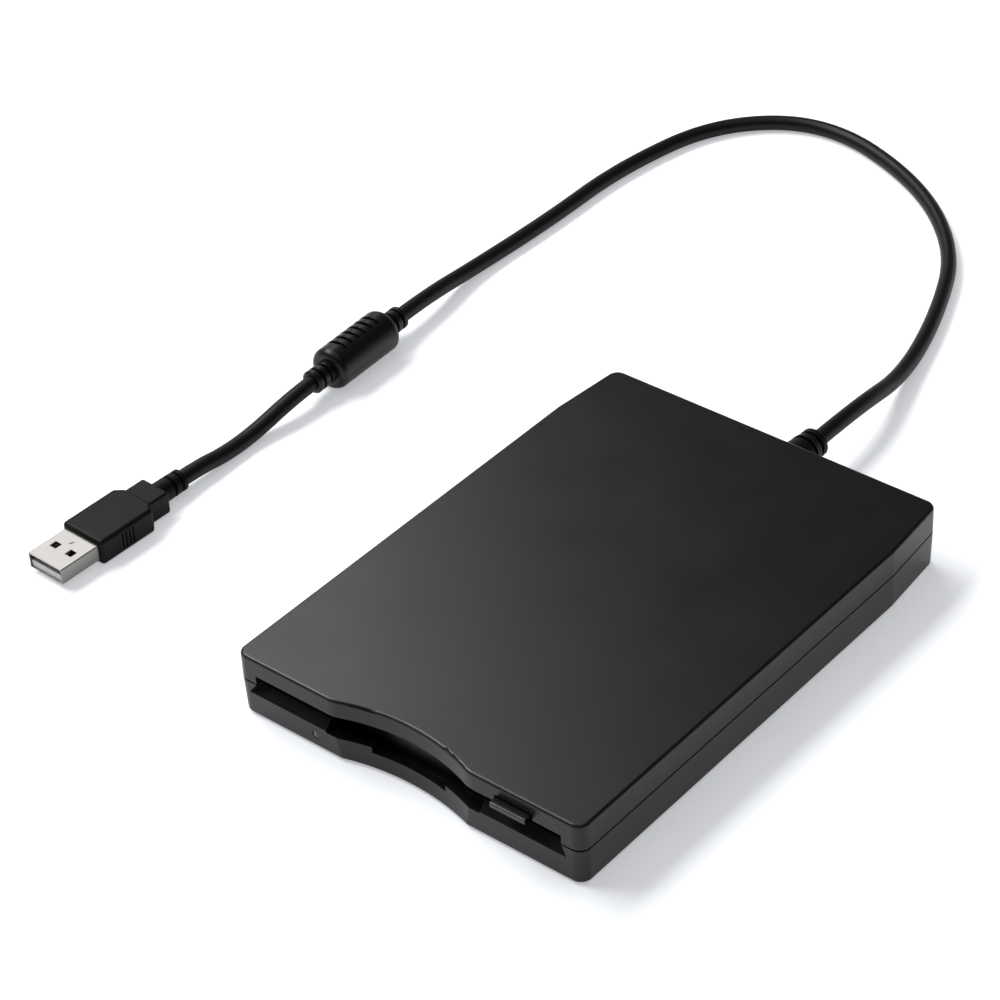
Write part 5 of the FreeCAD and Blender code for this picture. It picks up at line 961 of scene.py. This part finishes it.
def seat(low: Vector, high: Vector, along: Axis) -> Matrix:
    """Returns the move that puts a shape grown up the z axis from the origin along a box's middle.

    Args:
        low: Lowest corner of the box.
        high: Highest corner of the box.
        along: Direction of the box that the shape's z axis follows.

    Returns:
        Turn and move.
    """
    start = (low + high) / 2
    start[along.value] = low[along.value]
    turn = Vector((0, 0, 1)).rotation_difference(along.vector()).to_matrix().to_4x4()
    return Matrix.Translation(start) @ turn


@dataclass
class CoilSprings:
    """The two return springs of the slider and the spring of the shutter lever."""

    slider_wire_mm: float = 0.4
    slider_turns: int = 15
    lever_wire_mm: float = 0.3
    lever_turns: int = 17
    closed_turns: float = 1.0
    steps_per_turn: int = 24
    wire_sides: int = 10
    slider_keep: float = 12.4 / 17.4
    lever_keep: float = 0.55

    def tree(self) -> Grower:
        """Builds the tree of a compression spring with closed end turns."""
        coil = Grower("coil_spring", ("Radius", "Length", "Wire Radius"), ("Turns",))
        turns, wire = coil.sizes["Turns"], coil.sizes["Wire Radius"]
        spiral = coil.node("CurveSpiral", values={"Resolution": self.steps_per_turn, "Height": 0.0},
                           links={"Rotations": turns, "Start Radius": coil.sizes["Radius"],
                                  "End Radius": coil.sizes["Radius"]})
        share = coil.node("SplineParameter")["Factor"]
        passed = coil.work("MULTIPLY", share, turns)
        closed = self.closed_turns
        first = coil.work("MINIMUM", passed, closed)
        last = coil.work("MAXIMUM", coil.work("SUBTRACT", passed, coil.work("SUBTRACT", turns, closed)), 0.0)
        middle = coil.work("SUBTRACT", coil.work("SUBTRACT", passed, first), last)
        thick = coil.work("MULTIPLY", wire, 2.0)
        ends = coil.work("MULTIPLY", coil.work("ADD", first, last), thick)
        open_length = coil.work("SUBTRACT", coil.sizes["Length"],
                                coil.work("MULTIPLY", thick, 1.0 + 2.0 * closed))
        pitch = coil.work("DIVIDE", open_length, coil.work("SUBTRACT", turns, 2.0 * closed))
        rise = coil.work("ADD", coil.work("ADD", ends, coil.work("MULTIPLY", middle, pitch)), wire)
        wound = coil.node("SetPosition", links={"Geometry": spiral["Curve"], "Offset": coil.point(z=rise)})
        coil.close(coil.tube(wound["Geometry"], wire, self.wire_sides))
        return coil

    def wound(self, tree: Grower, points: list[Vector], along: Axis, wire_mm: float, turns: int
              ) -> Mesh:
        """Winds one spring inside the box of its solid."""
        low, high = corners_of(points)
        across = Axis((along.value + 1) % 3)
        outer = (high[across.value] - low[across.value]) / 2
        length = high[along.value] - low[along.value]
        wire = wire_mm * MM / 2
        sizes = {"Turns": turns, "Radius": outer - wire, "Length": length, "Wire Radius": wire}
        return tree.grow(SPRING_WIRE, sizes, seat(low, high, along))

    def build(self) -> None:
        """Builds the springs."""
        tree = self.tree()
        pair = [self.wound(tree, points, Axis.Y, self.slider_wire_mm, self.slider_turns)
                for points in solids_of("slider_springs")]
        springs = keep_piece("slider_spring_coils", merged(pair), SPRING_WIRE,
                             Body.CASE, ("slider_springs",))
        Axis.Y.vector()
        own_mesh(springs)
        one = self.wound(tree, solids_of("lever_spring")[0], Axis.X, self.lever_wire_mm, self.lever_turns)
        spring = keep_piece("lever_spring_coil", one, SPRING_WIRE, Body.CARRIER,
                            ("lever_spring",))
        Axis.X.vector()
        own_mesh(spring)


@dataclass
class HeadScrew:
    """The lead screw of the head: a ground core with one rounded helical ridge."""

    lead_mm: float = 3.0
    ridge_mm: float = 0.3
    end_plain_mm: float = 0.9
    core_sides: int = 32
    ridge_sides: int = 8
    steps_per_turn: int = 28

    def build(self) -> None:
        """Builds the screw in the box of its node."""
        low, high = box_of("lead_screw")
        outer, length = (high.x - low.x) / 2, high.y - low.y
        ridge, plain = self.ridge_mm * MM, self.end_plain_mm * MM
        screw = Grower("lead_screw_thread", ("Core Radius", "Length", "Turns", "Ridge Radius", "Plain End"))
        size = screw.sizes
        core = screw.node("MeshCylinder", values={"Vertices": self.core_sides},
                          links={"Radius": size["Core Radius"], "Depth": size["Length"]})
        half = screw.work("MULTIPLY", size["Length"], 0.5)
        stood = screw.node("SetPosition", links={"Geometry": core["Mesh"], "Offset": screw.point(z=half)})
        run = screw.work("SUBTRACT", size["Length"], screw.work("MULTIPLY", size["Plain End"], 2.0))
        helix = screw.node("CurveSpiral", values={"Resolution": self.steps_per_turn},
                           links={"Rotations": size["Turns"], "Start Radius": size["Core Radius"],
                                  "End Radius": size["Core Radius"], "Height": run})
        raised = screw.node("SetPosition", links={"Geometry": helix["Curve"],
                                                  "Offset": screw.point(z=size["Plain End"])})
        screw.close(screw.join(stood["Geometry"],
                               screw.tube(raised["Geometry"], size["Ridge Radius"], self.ridge_sides)))
        turns = (length - 2 * plain) / (self.lead_mm * MM)
        mesh = screw.grow(GROUND_STEEL, {"Core Radius": outer - ridge, "Length": length, "Turns": turns,
                                         "Ridge Radius": ridge, "Plain End": plain},
                          seat(low, high, Axis.Y), smooth=False)
        keep_piece("lead_screw_thread", mesh, GROUND_STEEL, Body.SCREW, ("lead_screw",))


@dataclass
class Windings:
    """The enamelled wire wound on the poles of the spindle motor's stator."""

    poles: int = 9
    wire_mm: float = 0.24
    wire_sides: int = 6
    corner_share: float = 0.35

    def build(self) -> None:
        """Builds all windings round the axis of the stator."""
        low, high = box_of("stator_core")
        axis = (low + high) / 2
        boxes = [corners_of(points) for points in solids_of("stator_coils")]
        axis.y = sum((a.y + b.y) / 2 for a, b in boxes) / len(boxes)
        axis.x = sum((a.x + b.x) / 2 for a, b in boxes) / len(boxes)
        near, far = max(boxes, key=lambda pair: pair[1].x)
        wire = self.wire_mm * MM / 2
        reach = near.x - axis.x
        coil_length, width, height = far.x - near.x, far.y - near.y, far.z - near.z
        turns = int(coil_length / (2 * wire))
        tree = Grower("stator_windings", ("Reach", "Pitch", "Width", "Height", "Corner", "Wire Radius"),
                      ("Poles", "Turns"))
        size = tree.sizes
        loop = tree.node("CurvePrimitiveQuadrilateral", {"mode": "RECTANGLE"},
                         links={"Width": size["Height"], "Height": size["Width"]})
        soft = tree.node("FilletCurve", links={"Curve": loop["Curve"], "Radius": size["Corner"]})
        turned = tree.node("Transform", values={"Rotation": (0.0, math.radians(90), 0.0)},
                           links={"Geometry": soft["Curve"]})
        wires = tree.tube(turned["Geometry"], size["Wire Radius"], self.wire_sides)
        pole = tree.repeat(tree.row(size["Turns"], size["Pitch"], size["Reach"]), wires)
        step = tree.work("DIVIDE", 2 * math.pi, size["Poles"])
        turn = tree.point(z=tree.work("MULTIPLY", tree.node("InputIndex")["Index"], step))
        tree.close(tree.repeat(tree.row(size["Poles"], 0.0, 0.0), pole, Rotation=turn))
        pitch = (coil_length - 2 * wire) / (turns - 1)
        mesh = tree.grow(ENAMEL_COPPER, {
            "Poles": self.poles, "Turns": turns, "Reach": reach + wire, "Pitch": pitch,
            "Width": width - 2 * wire, "Height": height - 2 * wire,
            "Corner": self.corner_share * height, "Wire Radius": wire},
            Matrix.Translation((axis.x, axis.y, (near.z + far.z) / 2)))
        keep_piece("stator_windings", mesh, ENAMEL_COPPER, Body.CASE, ("stator_coils",))


@dataclass(frozen=True)
class LegRow:
    """Legs along two sides of one chip."""

    node: str
    place: int
    count: int
    pitch_mm: float
    along: Axis


@dataclass
class ChipLegs:
    """Bent tinned legs that carry the chips on their boards."""

    reach_mm: float = 0.8
    width_mm: float = 0.32
    thick_mm: float = 0.15
    knee_share: float = 0.45
    drop_share: float = 0.45
    bend_steps: int = 6
    rows: tuple[LegRow, ...] = (
        LegRow("control_chips", 0, 3, 1.27, Axis.X), LegRow("control_chips", 1, 10, 0.8, Axis.X),
        LegRow("control_chips", 1, 10, 0.8, Axis.Y), LegRow("usb_chips", 1, 6, 1.27, Axis.X))

    def tree(self) -> Grower:
        """Builds the tree of one row of legs and its mirror image across the chip."""
        legs = Grower("chip_legs", ("Pitch", "Half Width", "Reach", "Drop", "Leg Width", "Leg Thickness"),
                      ("Count",))
        size = legs.sizes
        tip = legs.work("ADD", size["Half Width"], size["Reach"])
        knee = legs.work("ADD", size["Half Width"], legs.work("MULTIPLY", size["Reach"], self.knee_share))
        path = legs.node("CurvePrimitiveBezierSegment", {"mode": "POSITION"},
                         {"Resolution": self.bend_steps},
                         {"Start": legs.point(y=size["Half Width"], z=size["Drop"]),
                          "Start Handle": legs.point(y=tip, z=size["Drop"]),
                          "End Handle": legs.point(y=knee), "End": legs.point(y=tip)})
        band = legs.node("CurvePrimitiveQuadrilateral", {"mode": "RECTANGLE"},
                         links={"Width": size["Leg Width"], "Height": size["Leg Thickness"]})
        leg = legs.node("CurveToMesh", values={"Fill Caps": True},
                        links={"Curve": path["Curve"], "Profile Curve": band["Curve"]})
        start = legs.work("MULTIPLY", legs.span(size["Count"], size["Pitch"]), -0.5)
        near = legs.repeat(legs.row(size["Count"], size["Pitch"], start), leg["Mesh"])
        far = legs.node("Transform", values={"Rotation": (0.0, 0.0, math.radians(180))},
                        links={"Geometry": near})
        legs.close(legs.join(near, far["Geometry"]))
        return legs

    def build(self) -> None:
        """Builds the legs of both boards, one piece for each board."""
        tree = self.tree()
        made: dict[str, list[Mesh]] = {}
        for row in self.rows:
            low, high = corners_of(solids_of(row.node)[row.place])
            side = Axis.Y if row.along is Axis.X else Axis.X
            half = (high[side.value] - low[side.value]) / 2
            thick = self.thick_mm * MM
            turn = Matrix.Rotation(0.0 if row.along is Axis.X else math.radians(90), 4, "Z")
            middle = Vector(((low.x + high.x) / 2, (low.y + high.y) / 2, low.z + thick / 2))
            sizes = {"Count": row.count, "Pitch": row.pitch_mm * MM, "Half Width": half,
                     "Reach": self.reach_mm * MM, "Drop": (high.z - low.z) * self.drop_share,
                     "Leg Width": self.width_mm * MM, "Leg Thickness": thick}
            mesh = tree.grow(TINNED_COPPER, sizes, Matrix.Translation(middle) @ turn, smooth=False)
            made.setdefault(row.node, []).append(mesh)
        for node, meshes in made.items():
            name = node.replace("chips", "chip_legs")
            keep_piece(name, merged(meshes), TINNED_COPPER, Body.CASE)


@dataclass
class RibbonCable:
    """Flat cable between the boards: round insulated wires side by side, welded into a band."""

    wires: int = 10
    wire_sides: int = 12

    def build(self) -> None:
        """Builds the cable in the box of its node."""
        low, high = box_of("ribbon_cable")
        radius = (high.z - low.z) / 2
        pitch = (high.x - low.x - 2 * radius) / (self.wires - 1)
        band = Grower("ribbon_wires", ("Pitch", "Length", "Radius", "Web"), ("Count",))
        size = band.sizes
        wire = band.node("MeshCylinder", values={"Vertices": self.wire_sides},
                         links={"Radius": size["Radius"], "Depth": size["Length"]})
        laid = band.node("Transform", values={"Rotation": (math.radians(90), 0.0, 0.0)},
                         links={"Geometry": wire["Mesh"]})
        span = band.span(size["Count"], size["Pitch"])
        row = band.row(size["Count"], size["Pitch"], band.work("MULTIPLY", span, -0.5))
        web = band.node("MeshCube", links={"Size": band.point(span, size["Length"], size["Web"])})
        band.close(band.join(band.repeat(row, laid["Geometry"]), web["Mesh"]))
        mesh = band.grow(RIBBON_PVC, {"Count": self.wires, "Pitch": pitch, "Length": high.y - low.y,
                                      "Radius": radius, "Web": radius},
                         Matrix.Translation((low + high) / 2), smooth=False)
        keep_piece("ribbon_wires", mesh, RIBBON_PVC, Body.CASE, ("ribbon_cable",))


# ------------------------------------------------------------------ whole object


def main() -> None:
    """Builds the studio, dresses the frame and adds the pieces that it lacks."""
    logging.basicConfig(level=logging.INFO, format="%(message)s")
    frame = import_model()
    Studio().build(LAMPS)
    Cord().build(frame)
    dress_nodes(frame)
    CoilSprings().build()
    HeadScrew().build()
    Windings().build()
    ChipLegs().build()
    RibbonCable().build()


if __name__ == "__main__":
    main()
